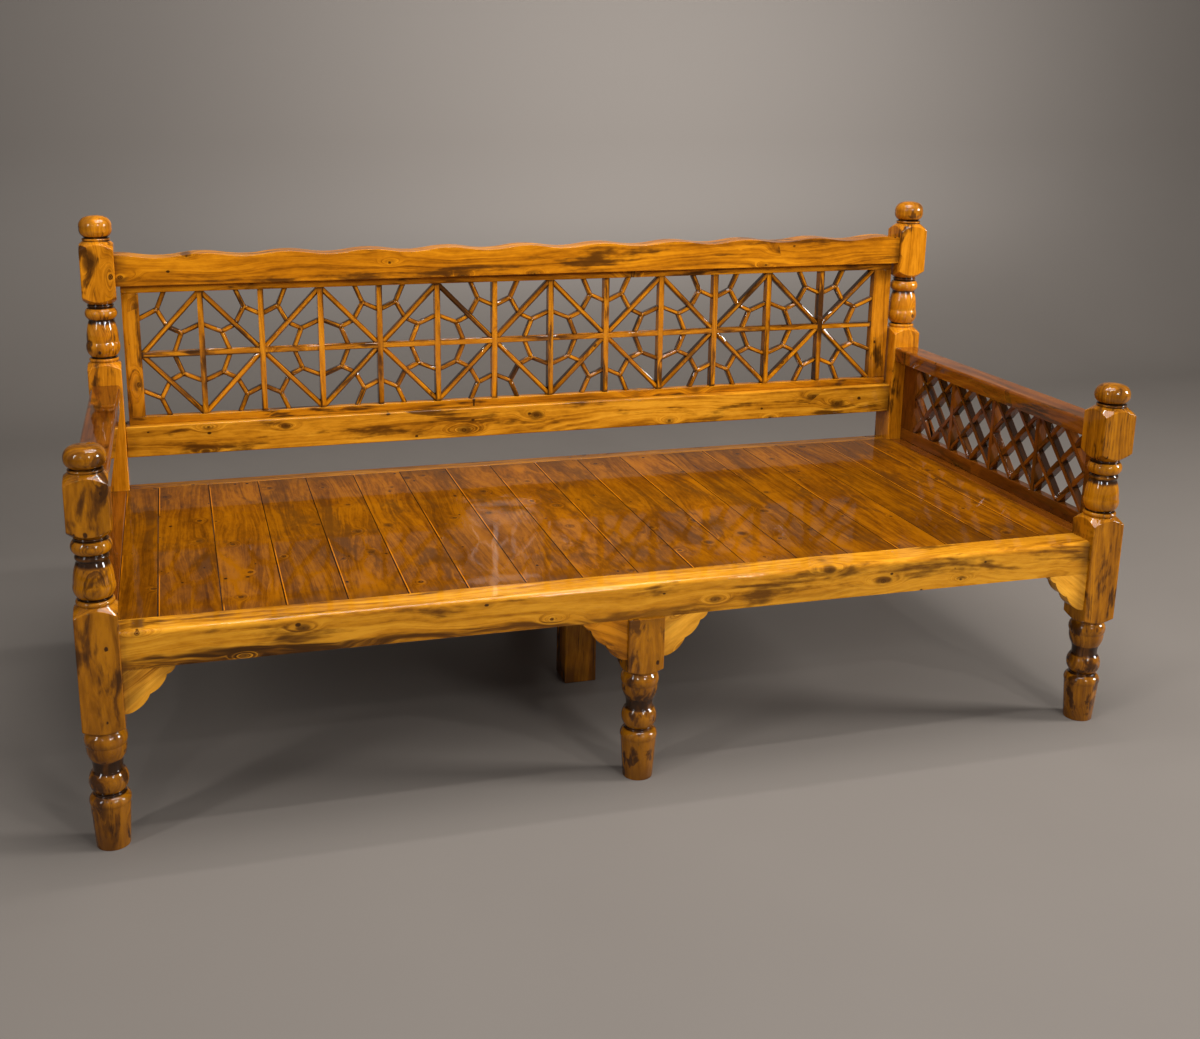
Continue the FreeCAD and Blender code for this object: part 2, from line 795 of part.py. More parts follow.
def ring_quarter(centre, base, across, up, reach, corner):
    """Two bars of a ring round an upright, and the link from their corner to the nearest diagonal."""
    width = value("ring_bar_width")
    hub = knot(centre, base)
    heel = knot(centre + across * reach, base)
    crown = knot(centre, base + up * reach)
    elbow = knot(centre + across * corner[0], base + up * corner[1])
    star, beside = (centre + across, centre) if centre % 2 else (centre, centre + across)
    foot, head = knot(star, 0), knot(beside, up if base == 0 else -up)
    joint = foot + (head - foot) * LINK_SHARE
    to_heel, to_crown, to_joint = (direction(elbow, end) for end in (heel, crown, joint))
    face = leftward(direction(foot, head))
    if (elbow - joint).dot(face) < 0:
        face = face * -1
    at_base = shoulder(hub, upward(up), level_gap(base))
    at_upright = shoulder(hub, sideways(across), upright_gap(centre))
    at_diagonal = shoulder(joint, face, value("diagonal_width") / 2)
    return [
        bar(elbow, heel, width, fitted(elbow, to_heel, (to_crown, to_joint)) + [at_base]),
        bar(elbow, crown, width, fitted(elbow, to_crown, (to_heel, to_joint)) + [at_upright]),
        bar(elbow, joint, width, fitted(elbow, to_joint, (to_heel, to_crown)) + [at_diagonal]),
    ]


def ring_bars():
    """Whole rings round the odd columns, and half rings at the head and foot of the even ones."""
    bars = []
    for centre in range(COLUMNS + 1):
        for across in (-1, 1):
            if not 0 <= centre + across <= COLUMNS:
                continue
            for up in (-1, 1):
                if centre % 2:
                    ring = 0, across, up, RING_SHARE, (RING_CORNER_SHARE, RING_CORNER_SHARE)
                else:
                    ring = up, across, -up, HALF_RING_SHARE, HALF_RING_CORNER_SHARES
                bars += ring_quarter(centre, *ring)
    return bars


def crossed_bars():
    """The middle bar and the uprights, each halved where they cross, as two lists of solids."""
    depth, width = value("lattice_depth"), value("upright_width")
    low, high, mid = level(-1), level(1), level(0)
    length = column(COLUMNS) - column(0)
    middle_bar = Part.makeBox(length, width, depth, flat(column(0), mid - width / 2))
    uprights = []
    for place_along in range(1, COLUMNS):
        left = column(place_along) - width / 2
        corner = FreeCAD.Vector(left, mid - width / 2, depth / 2)
        crossing = Part.makeBox(width, width, depth / 2, corner)
        middle_bar = middle_bar.cut(crossing)
        crossing.translate(FreeCAD.Vector(0, 0, -depth / 2))
        uprights.append(Part.makeBox(width, high - low, depth, flat(left, low)).cut(crossing))
    return [middle_bar], uprights


def back_placement(inset):
    """Stand a flat panel upright, its back face this far in front of the lattice's back."""
    stand = FreeCAD.Rotation(FreeCAD.Vector(1, 0, 0), 90)
    return FreeCAD.Placement(FreeCAD.Vector(0, value(LATTICE[1]) - inset, 0), stand)


step = value("bar_step")
middle_bars, uprights = crossed_bars()
lattice("back_middle_bar", middle_bars, back_placement(0))
lattice("back_uprights", uprights, back_placement(0))
panel("back_diagonals", diagonal_bars(), value("lattice_depth") - 2 * step, back_placement(step))
panel("back_rings", ring_bars(), value("lattice_depth") - 4 * step, back_placement(2 * step))


# Arms
ARM_LATTICE_FRONT = f"(arm_front_stile - {POST_FACE_Y})"
ARM_LATTICE_BACK = f"({POST_FACE_Y} - arm_rear_stile)"


def arm_knot(place_along, place_up):
    """A crossing of an arm's lattice: columns from its front, levels from -1 at the sill to 1."""
    front, back = value(ARM_LATTICE_FRONT), value(ARM_LATTICE_BACK)
    low, high = value(ARM_SILL_TOP), value(ARM_RAIL_BOTTOM)
    return flat(
        front + (back - front) * place_along / ARM_COLUMNS,
        (low + high) / 2 + place_up * (high - low) / 2,
    )


def arm_gap(place_along):
    """Half an upright on the even columns between the stiles, otherwise nothing."""
    inner = place_along % 2 == 0 and 0 < place_along < ARM_COLUMNS
    return value("arm_bar_width") / 2 if inner else 0


def arm_slants(lean):
    """The start and end of every bar that climbs towards one end of the arm."""
    runs = []
    for along in range(0, ARM_COLUMNS, 2):
        runs.append(((along, -1), (along + 2, 1)))
        runs.append(((along + 1, -1), (along + 2, 0)))
        runs.append(((along, 0), (along + 1, 1)))
    if lean > 0:
        return runs
    return [((ARM_COLUMNS - a, v), (ARM_COLUMNS - b, w)) for (a, v), (b, w) in runs]


def arm_end_cuts(place, along, going):
    """The faces that stop a slanting bar at one of its ends, and the midline it shares with its twin."""
    here, up = place
    node = arm_knot(*place)
    cuts = [shoulder(node, sideways(going), arm_gap(here))]
    if up:
        cuts.append(shoulder(node, upward(-up), 0))
    else:
        cuts.append(shoulder(node, upward(1 if along.y > 0 else -1), 0))
    return cuts


def arm_bars():
    """The bars that run through, then the shorter ones fitted between them."""
    width = value("arm_bar_width")
    through, between = [], []
    for (a, v), (b, w) in arm_slants(1):
        start, end = arm_knot(a, v), arm_knot(b, w)
        cuts = arm_end_cuts((a, v), direction(start, end), 1)
        cuts += arm_end_cuts((b, w), direction(end, start), -1)
        through.append(bar(start, end, width, cuts))
    climb = leftward(direction(arm_knot(0, -1), arm_knot(1, 0)))
    for (a, v), (b, w) in arm_slants(-1):
        start, end = arm_knot(a, v), arm_knot(b, w)
        at_start = arm_end_cuts((a, v), direction(start, end), -1)
        at_end = arm_end_cuts((b, w), direction(end, start), 1)
        halves = 2 * abs(b - a)
        for half in range(halves):
            near = start + (end - start) * (half / halves)
            far = start + (end - start) * ((half + 1) / halves)
            first = at_start if half == 0 else [shoulder(near, climb, width / 2)]
            last = at_end if half == halves - 1 else [shoulder(far, climb * -1, width / 2)]
            between.append(bar(near, far, width, first + last))
    return through, between


def arm(side, hand):
    """A rounded rail over a sill, two stiles and a lattice of crossed slants and uprights."""
    label = f"arm_rail_{hand}"
    rail(label, rounded_rail(label, "arm_rail_round", False))
    face = f"({POST_FACE_X} + arm_panel_setback)"
    across = mirrored(side, face, f"{face} + arm_lattice_depth")
    tall = (ARM_SILL_TOP, ARM_RAIL_BOTTOM)
    for piece, deep, between in (
        ("sill", BETWEEN_POSTS_Y, ("seat_height", ARM_SILL_TOP)),
        ("stile_front", (BETWEEN_POSTS_Y[0], ARM_LATTICE_FRONT), tall),
        ("stile_rear", (ARM_LATTICE_BACK, BETWEEN_POSTS_Y[1]), tall),
    ):
        finish(block(f"arm_{piece}_{hand}", across, deep, between), f"arm_{piece}_{hand}")

    turn = FreeCAD.Rotation(FreeCAD.Vector(1, 1, 1), 120)
    depth, width = value("arm_lattice_depth"), value("arm_bar_width")
    placement = FreeCAD.Placement(FreeCAD.Vector(value(across[0]), 0, 0), turn)
    inset = FreeCAD.Placement(FreeCAD.Vector(value(across[0]) + step, 0, 0), turn)
    through, between = arm_bars()
    panel(f"arm_slants_{hand}", through + between, depth - 2 * step, inset)
    uprights = []
    for place_along in range(2, ARM_COLUMNS, 2):
        foot, head = arm_knot(place_along, -1), arm_knot(place_along, 1)
        uprights.append(bar(foot, head, width, [(foot, UP), (head, DOWN)]))
    panel(f"arm_uprights_{hand}", uprights, depth, placement)


arm(-1, "left")
arm(1, "right")


# Brackets
def bracket(label, x, side):
    """A scalloped bracket in the corner between a leg's side face and the rail above."""
    corners = [("0", "0", 0), ("0", "-bracket_height", SCALLOP_SHARES[0][2])]
    for out, down, swell in SCALLOP_SHARES[1:]:
        corners.append((f"{out} * bracket_length", f"-{down} * bracket_height", swell))
    corners.append(("bracket_length", "0", 0))
    if side < 0:
        corners = [(f"-({u})" if u != "0" else "0", v, -swell) for u, v, swell in corners]
    body = padded(label, "XZ_Plane", corners, "bracket_thickness", True)
    place(body, x, f"{FRONT_RAIL[0]} + bracket_thickness / 2", RAIL_BOTTOM)
    return finish(body, label)


bracket("bracket_left", f"-{POST_FACE_X}", 1)
bracket("bracket_middle_left", f"middle_leg_offset - {HALF}", -1)
bracket("bracket_middle_right", f"middle_leg_offset + {HALF}", 1)
bracket("bracket_right", POST_FACE_X, -1)

doc.recompute()


def check():
    """Stop if any object failed or any finished piece is empty, open or invalid."""
    faults = [thing.Name for thing in doc.Objects if {"Invalid", "Error"} & set(thing.State)]
    for piece in finished:
        shape = piece.Shape
        if shape.isNull() or not shape.isValid() or not shape.Solids or shape.Volume <= 0:
            faults.append(piece.Label)
    if faults:
        raise RuntimeError("faulty objects: " + ", ".join(faults))


check()
os.makedirs("parts", exist_ok=True)
for piece in finished:
    piece.Shape.exportStep(f"parts/{piece.Label}.step")
    print(piece.Label, len(piece.Shape.Solids), round(piece.Shape.Volume))
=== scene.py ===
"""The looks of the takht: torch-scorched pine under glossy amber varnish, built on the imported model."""

import json
import math

import bmesh
import bpy
import numpy as np
from mathutils import Matrix, Vector


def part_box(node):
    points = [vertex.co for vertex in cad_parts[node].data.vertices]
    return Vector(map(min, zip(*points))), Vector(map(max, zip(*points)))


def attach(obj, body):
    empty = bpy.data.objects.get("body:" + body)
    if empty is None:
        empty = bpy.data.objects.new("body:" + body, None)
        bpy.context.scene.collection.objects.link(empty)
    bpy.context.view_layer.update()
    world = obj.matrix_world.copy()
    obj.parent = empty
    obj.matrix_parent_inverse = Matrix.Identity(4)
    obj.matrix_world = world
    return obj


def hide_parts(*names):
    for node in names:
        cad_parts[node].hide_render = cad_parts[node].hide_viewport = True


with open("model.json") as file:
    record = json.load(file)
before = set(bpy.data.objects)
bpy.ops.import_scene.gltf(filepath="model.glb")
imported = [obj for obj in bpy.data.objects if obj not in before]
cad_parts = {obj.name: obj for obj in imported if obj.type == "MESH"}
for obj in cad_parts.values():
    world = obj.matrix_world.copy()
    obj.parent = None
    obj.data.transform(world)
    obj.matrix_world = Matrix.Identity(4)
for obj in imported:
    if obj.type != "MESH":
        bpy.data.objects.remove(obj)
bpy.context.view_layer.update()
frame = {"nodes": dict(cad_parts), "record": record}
nodes = frame["nodes"]
slots = {part["node"]: part["material_slot"] for part in frame["record"]["subparts"]}

GOLDEN = 0.6180339887


# Small helpers that write shader nodes.

class Shader:
    """A node material whose values are wired with plain calls."""

    def __init__(self, name):
        self.material = bpy.data.materials.new(name)
        self.material.use_nodes = True
        self.tree = self.material.node_tree
        self.tree.nodes.clear()

    def node(self, kind, inputs=(), **settings):
        made = self.tree.nodes.new(kind)
        for key, value in settings.items():
            setattr(made, key, value)
        for key, value in dict(inputs).items():
            self.feed(made.inputs[key], value)
        return made

    def feed(self, socket, value):
        if isinstance(value, bpy.types.NodeSocket):
            self.tree.links.new(value, socket)
        elif value is not None:
            socket.default_value = value

    def math(self, operation, first, second=None, third=None):
        made = self.node("ShaderNodeMath", operation=operation)
        for place, value in enumerate((first, second, third)):
            if value is not None:
                self.feed(made.inputs[place], value)
        return made.outputs[0]

    def vector(self, operation, first, second=None, scale=None):
        made = self.node("ShaderNodeVectorMath", operation=operation)
        self.feed(made.inputs[0], first)
        if second is not None:
            self.feed(made.inputs[1], second)
        if scale is not None:
            self.feed(made.inputs["Scale"], scale)
        return made.outputs["Value" if operation in ("LENGTH", "DISTANCE", "DOT_PRODUCT") else "Vector"]

    def attribute(self, key, kind="OBJECT", output="Vector"):
        made = self.node("ShaderNodeAttribute", attribute_type=kind, attribute_name=key)
        return made.outputs[output]

    def split(self, vector):
        made = self.node("ShaderNodeSeparateXYZ", {0: vector})
        return made.outputs[0], made.outputs[1], made.outputs[2]

    def join(self, x, y, z):
        return self.node("ShaderNodeCombineXYZ", {0: x, 1: y, 2: z}).outputs[0]

    def noise(self, vector, scale=1.0, detail=2.0, roughness=0.5, distortion=0.0, colour=False):
        made = self.node("ShaderNodeTexNoise", {"Vector": vector, "Scale": scale, "Detail": detail,
                                                "Roughness": roughness, "Distortion": distortion})
        return made.outputs["Color" if colour else "Fac"]

    def spread(self, value, low, high, start=0.0, end=1.0):
        """A smooth step from start to end while the value goes from low to high."""
        made = self.node("ShaderNodeMapRange", {"Value": value, "From Min": low, "From Max": high,
                                                "To Min": start, "To Max": end})
        made.interpolation_type = "SMOOTHSTEP"
        return made.outputs["Result"]

    def scaled(self, vector, factors):
        return self.vector("MULTIPLY", vector, factors)

    def mix(self, share, first, second):
        made = self.node("ShaderNodeMix", data_type="RGBA", blend_type="MIX")
        self.feed(made.inputs["Factor"], share)
        self.feed(made.inputs[6], first)
        self.feed(made.inputs[7], second)
        return made.outputs[2]

    def ramp(self, value, stops):
        made = self.node("ShaderNodeValToRGB", {"Fac": value})
        elements = made.color_ramp.elements
        while len(elements) < len(stops):
            elements.new(0.5)
        for element, (place, colour) in zip(elements, stops):
            element.position = place
            element.color = (*colour, 1.0)
        return made.outputs["Color"]


# Colours of the varnished wood, from its pale to its dark figure, and of its burns and painted shade
BRACKET = ((0.88, 0.400, 0.034), (0.72, 0.300, 0.020), (0.42, 0.150, 0.008), (0.16, 0.050, 0.003))
HONEY = ((0.64, 0.275, 0.016), (0.50, 0.192, 0.008), (0.28, 0.094, 0.004), (0.11, 0.035, 0.002))
GOLD = ((0.57, 0.206, 0.005), (0.41, 0.134, 0.003), (0.22, 0.066, 0.002), (0.095, 0.026, 0.001))
RUSSET = ((0.54, 0.190, 0.006), (0.40, 0.130, 0.003), (0.22, 0.066, 0.002), (0.09, 0.024, 0.001))
AMBER = ((0.40, 0.142, 0.003), (0.27, 0.090, 0.002), (0.14, 0.042, 0.001), (0.065, 0.017, 0.001))
SEAT = ((0.235, 0.073, 0.001), (0.145, 0.042, 0.001), (0.068, 0.018, 0.001), (0.028, 0.007, 0.001))
CHESTNUT = ((0.215, 0.058, 0.004), (0.145, 0.037, 0.003), (0.085, 0.020, 0.002), (0.040, 0.010, 0.001))
UMBER = (0.075, 0.024, 0.003)
NEAR_BLACK = (0.012, 0.0050, 0.0020)
# The pale of the painted highlight along the top front edge of a rail
PAINTED_GLINT = (0.95, 0.62, 0.24)

# How much paler than a wood's palest tone the painted highlight along a board's lip is
LIP_HIGHLIGHT_GAIN = 2.6

# Where the four tones of a wood lie between its palest and its darkest figure
TONE_PLACES = (0.0, 0.30, 0.64, 1.0)

# How fine the noises are, in turns a metre along, across and through the grain
WARP, RIPPLE, WOBBLE = (1.5, 7.0, 7.0), (7.0, 34.0, 34.0), (70.0, 110.0, 110.0)
CLOUD, MOTTLE = (3.4, 15.0, 15.0), (34.0, 120.0, 120.0)
BLOTS, FLOW = (19.0, 36.0, 36.0), (9.0, 34.0, 34.0)

# How fine the figure is, in turns a metre along the grain and out from the pith, with a key that keeps
# one noise apart from the next
BANDS, DARK_LINES, PALE_LINES = (0.9, 80.0, 0.0), (1.2, 125.0, 3.1), (1.6, 110.0, 9.7)
STREAKS, FIBRES = (5.0, 250.0, 5.3), (16.0, 800.0, 7.9)

# How far apart in the noise two pieces can lie along their grain, in metres
APART = 37.0

# How far the pith lies from a piece's middle, how far the rings wander, and how far a knot lifts them
PITH_REACH, WARP_REACH, RIPPLE_REACH, KNOT_LIFT = 0.05, 0.10, 0.014, 0.032

# How far in from its end a rail or a bar is scorched, and the radius that rounds an edge for its burn
END_REACH, BAR_END_REACH, EDGE_RADIUS = 0.075, 0.009, 0.005


def pine(name, along, tones, figure, scorch, knots, through="deep", end_burn=0.5, edge_burn=0.5,
         groove_shade=0.0, arris_glint=0.0, low_burn_and_shade=0.0, seams_and_lip_highlight=False, patch=(5.0, 23.0), soft=0.0, oval=0.34,
         knot_size=1.0, coat=0.7, waves=0.5, gloss=1.38, tilt=0.0, uneven=0.12, bars=False):
    """Varnished pine: growth rings that flow round knots, torch burns that follow them, dark edges, and
    painted shade and highlights.

    The grain runs along one axis, and the branches run through the piece or across its width. figure, scorch
    and knots say how much there is of each, and patch how close the burns lie along and across the grain.
    soft blurs the streaks, oval and knot_size shape the swirl round a knot, tilt turns the grain in the face,
    and uneven says how much one piece's tone differs from the next. With bars, each point's place in its own
    lattice bar comes from the mesh.
    """
    s = Shader(name)
    if bars:
        place = s.attribute("bar_place", "GEOMETRY")
        facts = s.attribute("bar_facts", "GEOMETRY")
        seed, half, half_wide = s.split(facts)
        run, wide, deep = s.split(place)
        to_end = s.math("SUBTRACT", half, s.math("ABSOLUTE", run))
    else:
        place = s.node("ShaderNodeTexCoord").outputs["Object"]
        shift, lowest, highest = (s.attribute(key) for key in ("axis", "lowest", "highest"))
        seed = s.attribute("seed", output="Fac")
        order = {"X": (0, 1, 2), "Y": (1, 0, 2), "Z": (2, 0, 1)}[along]
        own = s.split(s.vector("SUBTRACT", place, shift))
        run, wide, deep = (own[axis] for axis in order)
        if tilt:
            side, rise = math.cos(tilt), math.sin(tilt)
            run, deep = (s.math("MULTIPLY_ADD", run, side, s.math("MULTIPLY", deep, rise)),
                         s.math("MULTIPLY_ADD", run, -rise, s.math("MULTIPLY", deep, side)))
        from_low = s.split(s.vector("SUBTRACT", place, lowest))
        from_high = s.split(s.vector("SUBTRACT", highest, place))
        to_end = s.math("MINIMUM", from_low[order[0]], from_high[order[0]])
    far_run = s.math("MULTIPLY_ADD", seed, APART, run)
    grain = s.join(far_run, wide, deep)

    def knot_field(stretch, chosen, flatten, wobble):
        """How far a point is from the axis of the nearest branch, and the branch's own random numbers."""
        scaled = s.scaled(grain, stretch)
        cell = s.node("ShaderNodeTexVoronoi", {"Vector": scaled, "Scale": 1.0, "Randomness": 0.9})
        chance, size, _ = s.split(cell.outputs["Color"])
        apart = s.vector("DIVIDE", s.vector("SUBTRACT", scaled, cell.outputs["Position"]), stretch)
        apart_run, apart_wide, apart_deep = s.split(apart)
        side = apart_deep if through == "wide" else apart_wide
        near = s.vector("LENGTH", s.join(s.math("MULTIPLY", apart_run, flatten), side, 0.0))
        far = s.vector("LENGTH", s.join(s.math("MULTIPLY", apart_run, oval), side, 0.0))
        near = s.math("MULTIPLY_ADD", wobble, 0.005, near)
        return near, far, s.spread(chance, 1.0 - chosen, 1.02 - chosen), size

    wobble = s.math("SUBTRACT", s.noise(s.scaled(grain, WOBBLE)), 0.5)
    thin_way = (1.2, 13.0) if through == "wide" else (13.0, 1.2)
    core, swirl, picked, size = knot_field((6.5, *thin_way), knots, 0.78, wobble)
    reach = s.math("MULTIPLY_ADD", size, 0.014 * knot_size, 0.015 * knot_size)
    share = s.math("DIVIDE", core, reach)
    hill = s.math("MULTIPLY", s.spread(s.math("DIVIDE", swirl, reach), 1.15, 0.0), picked)
    eye = s.math("MULTIPLY", s.spread(share, 0.27, 0.20), picked)
    rim = s.math("MULTIPLY", s.spread(share, 0.24, 0.30), s.spread(share, 0.46, 0.36))
    rim = s.math("MULTIPLY", rim, picked)
    halo = s.math("MULTIPLY", s.spread(s.math("DIVIDE", s.math("ADD", core, swirl), reach), 1.7, 0.5), picked)
    pin_way = (3.0, 30.0) if through == "wide" else (30.0, 3.0)
    pin_core, pin_far, pin_picked, pin_size = knot_field((15.0, *pin_way), 0.05 + 0.10 * knots, 0.7, wobble)
    pin_reach = s.math("MULTIPLY_ADD", pin_size, 0.0026, 0.0016)
    pin = s.math("MULTIPLY", s.spread(s.math("DIVIDE", pin_core, pin_reach), 1.3, 0.5), pin_picked)
    pin_rim = s.math("MULTIPLY", s.spread(s.math("DIVIDE", pin_far, pin_reach), 3.4, 0.8), pin_picked)

    # The ring field: distance from a wandering pith, lifted at each knot so that the rings close round it.
    warp = s.noise(s.scaled(grain, WARP), detail=1.5, colour=True)
    warp = s.vector("SCALE", s.vector("SUBTRACT", warp, (0.5, 0.5, 0.5)), scale=WARP_REACH)
    ripple = s.noise(s.scaled(grain, RIPPLE), colour=True)
    ripple = s.vector("SCALE", s.vector("SUBTRACT", ripple, (0.5, 0.5, 0.5)), scale=RIPPLE_REACH)
    turn = s.math("MULTIPLY", seed, 6.283)
    pith = s.join(0.0, s.math("MULTIPLY", s.math("COSINE", turn), PITH_REACH),
                  s.math("MULTIPLY", s.math("SINE", turn), PITH_REACH))
    moved = s.vector("ADD", s.vector("ADD", s.join(0.0, wide, deep), warp), ripple)
    _, across, down = s.split(s.vector("SUBTRACT", moved, pith))
    radius = s.vector("LENGTH", s.join(0.0, across, down))
    radius = s.math("MULTIPLY_ADD", hill, KNOT_LIFT * knot_size, radius)

    def along_rings(run_scale, ring_scale, key, detail=1.0):
        """Noise that runs with the growth rings, uneven from ring to ring."""
        spot = s.join(s.math("MULTIPLY", far_run, run_scale), s.math("MULTIPLY", radius, ring_scale),
                      s.math("MULTIPLY_ADD", seed, 5.0, key))
        return s.noise(spot, detail=detail)

    def thread(value, width):
        """Thin lines where a noise passes its middle."""
        return s.spread(s.math("ABSOLUTE", s.math("SUBTRACT", value, 0.5)), width, 0.0)

    bands = along_rings(*BANDS, detail=2.0)
    dark_line = thread(along_rings(*DARK_LINES), 0.040)
    pale_line = thread(along_rings(*PALE_LINES), 0.035)
    streak = along_rings(*STREAKS, detail=3.0)
    fibre = along_rings(*FIBRES, detail=2.0)
    cloud = s.noise(s.scaled(grain, CLOUD), detail=3.0)
    mottle = s.noise(s.scaled(grain, MOTTLE), detail=4.0, roughness=0.62)
    smoke = s.noise(s.scaled(grain, (patch[0], patch[1], patch[1])), detail=3.0, roughness=0.55,
                    distortion=0.6)
    smoke = s.math("ADD", smoke, s.math("MULTIPLY_ADD", bands, 0.24, -0.12))

    depth = s.math("MULTIPLY", s.spread(bands, 0.36, 0.68), 0.40 * figure)
    line_strength = s.math("MULTIPLY_ADD", hill, 0.30, s.spread(cloud, 0.35, 0.65, 0.06, 0.26))
    depth = s.math("MULTIPLY_ADD", dark_line, s.math("MULTIPLY", line_strength, figure), depth)
    depth = s.math("ADD", depth, s.spread(streak, 0.30, 0.74, -0.10 + 0.05 * soft, 0.22 - 0.12 * soft))
    depth = s.math("ADD", depth, s.spread(cloud, 0.30, 0.70, -0.04, 0.30))
    depth = s.math("ADD", depth, s.math("MULTIPLY_ADD", fibre, 0.20, -0.10))
    depth = s.math("ADD", depth, s.math("MULTIPLY_ADD", mottle, 0.70, -0.35))
    pale = s.math("MULTIPLY", pale_line, s.math("MULTIPLY_ADD", hill, 0.26, 0.10))
    depth = s.math("SUBTRACT", depth, s.math("MULTIPLY_ADD", rim, 0.35, pale))
    colour = s.ramp(depth, list(zip(TONE_PLACES, tones)))
    board = s.math("FRACT", s.math("MULTIPLY", seed, 7.31))
    colour = s.vector("SCALE", colour, scale=s.math("MULTIPLY_ADD", board, 2.0 * uneven, 1.0 - uneven))

    # Torch burns: smoky patches that follow the streaks, round knots, at ends and at edges; painted shade in
    # the grooves, low on the posts, on the sides of bars and along the bottom of the front rail.
    burn = s.math("MULTIPLY_ADD", s.math("SUBTRACT", streak, 0.5), 0.30 - 0.22 * soft, smoke)
    burn = s.math("MULTIPLY_ADD", s.math("SUBTRACT", mottle, 0.5), 0.22, burn)
    burn = s.spread(burn, 0.68 - 0.24 * scorch - 0.06 * soft, 0.84 - 0.20 * scorch + 0.10 * soft)
    rings_in_eye = s.math("SINE", s.math("MULTIPLY", core, 2300.0))
    dark_eye = s.math("MULTIPLY", eye, s.math("MULTIPLY_ADD", rings_in_eye, 0.22, 0.70))
    haze = s.math("MULTIPLY", halo, s.spread(smoke, 0.36, 0.60, 0.15, 0.85))
    at_end = s.math("MULTIPLY", s.spread(to_end, BAR_END_REACH if bars else END_REACH, 0.0),
                    s.spread(smoke, 0.3, 0.62, 0.3, 1.0))
    rounded = s.node("ShaderNodeBevel", {"Radius": EDGE_RADIUS}, samples=4).outputs["Normal"]
    plain = s.node("ShaderNodeNewGeometry").outputs["Normal"]
    bend = s.math("SUBTRACT", 1.0, s.vector("DOT_PRODUCT", rounded, plain))
    edge = s.spread(s.math("MULTIPLY", bend, s.spread(smoke, 0.40, 0.62, 0.05, 1.3)), 0.015, 0.20)
    burn_and_shade = s.math("MULTIPLY", burn, 0.85 - 0.35 * soft)
    for part, strength in ((dark_eye, 1.0), (haze, 0.9), (at_end, end_burn), (edge, edge_burn), (pin, 0.9),
                           (pin_rim, 0.25)):
        burn_and_shade = s.math("MAXIMUM", burn_and_shade, s.math("MULTIPLY", part, strength))
    if groove_shade:
        # Painted shade: darker in the grooves and narrow necks of the turned stretches, broken up by the
        # smoky noise and kept off the crown.
        from_axis = s.vector("LENGTH", s.join(0.0, wide, deep))
        groove_shade_mask = s.math("ADD", s.spread(from_axis, 0.0315, 0.0262), s.math("MULTIPLY_ADD", smoke, 1.6, -0.9))
        groove_shade_mask = s.math("MULTIPLY", s.spread(groove_shade_mask, 0.15, 0.95), s.spread(from_axis, 0.0345, 0.0300))
        groove_shade_mask = s.math("MULTIPLY", groove_shade_mask, s.spread(from_high[2], 0.016, 0.026, 0.15, 1.0))
        blots = s.noise(s.scaled(grain, BLOTS), detail=3.0, roughness=0.55, distortion=0.3)
        blots = s.spread(blots, 0.53, 0.63)
        turned = s.math("MAXIMUM", s.spread(run, 0.235, 0.20, 0.0, 0.85),
                        s.spread(from_high[2], 0.062, 0.045, 0.0, 0.7))
        burn_and_shade = s.math("MAXIMUM", burn_and_shade, s.math("MULTIPLY", groove_shade_mask, groove_shade))
        burn_and_shade = s.math("MAXIMUM", burn_and_shade, s.math("MULTIPLY", blots, turned))
    if bars:
        # Painted shade with burn: the sides of each bar are darkened, broken up by the smoky noise.
        side_shade_and_burn = s.spread(s.math("DIVIDE", s.math("ABSOLUTE", wide), half_wide), 0.45, 0.98)
        burn_and_shade = s.math("MAXIMUM", burn_and_shade, s.math("MULTIPLY", side_shade_and_burn, s.spread(smoke, 0.3, 0.56, 0.5, 1.0)))
    if low_burn_and_shade:
        # Burn and painted shade: darker along the bottom edge of the piece, following the streaks, and more
        # so towards its left end.
        height = s.math("MULTIPLY_ADD", s.math("SUBTRACT", smoke, 0.5), -0.12, from_low[2])
        bottom_burn_and_shade = s.spread(height, 0.030, 0.004)
        bottom_burn_and_shade = s.math("MULTIPLY", bottom_burn_and_shade, s.spread(streak, 0.36, 0.58, 0.3, 1.0))
        bottom_burn_and_shade = s.math("MULTIPLY", bottom_burn_and_shade, s.spread(run, 0.45, -0.7, 0.3, 1.0))
        burn_and_shade = s.math("MAXIMUM", burn_and_shade, s.math("MULTIPLY", bottom_burn_and_shade, low_burn_and_shade))
    if groove_shade:
        # Painted shade: the lower part of each post and leg is darkened, where less light reaches near the
        # floor.
        colour = s.mix(s.spread(run, 0.30, 0.14, 0.0, 0.36), colour, (*UMBER, 1.0))
    colour = s.mix(s.math("MULTIPLY", s.spread(burn_and_shade, 0.0, 0.75), 0.9), colour, (*UMBER, 1.0))
    colour = s.mix(s.spread(burn_and_shade, 0.66, 1.0, 0.0, 0.85), colour, (*NEAR_BLACK, 1.0))
    if seams_and_lip_highlight:
        seam = s.math("MINIMUM", from_low[0], from_high[0])
        colour = s.mix(s.spread(seam, 0.0010, 0.0004, 0.0, 0.8), colour, (*NEAR_BLACK, 1.0))
        # Painted highlight: a thin pale line along one edge of each board, where its rounded lip would catch
        # the light.
        lip_highlight = s.math("MULTIPLY", s.spread(from_low[0], 0.0012, 0.0018), s.spread(from_low[0], 0.0036, 0.0028))
        lip_highlight = s.math("MULTIPLY", lip_highlight, s.spread(cloud, 0.48, 0.56, 0.0, 0.7))
        colour = s.mix(lip_highlight, colour, (*(channel * LIP_HIGHLIGHT_GAIN for channel in tones[0]), 1.0))
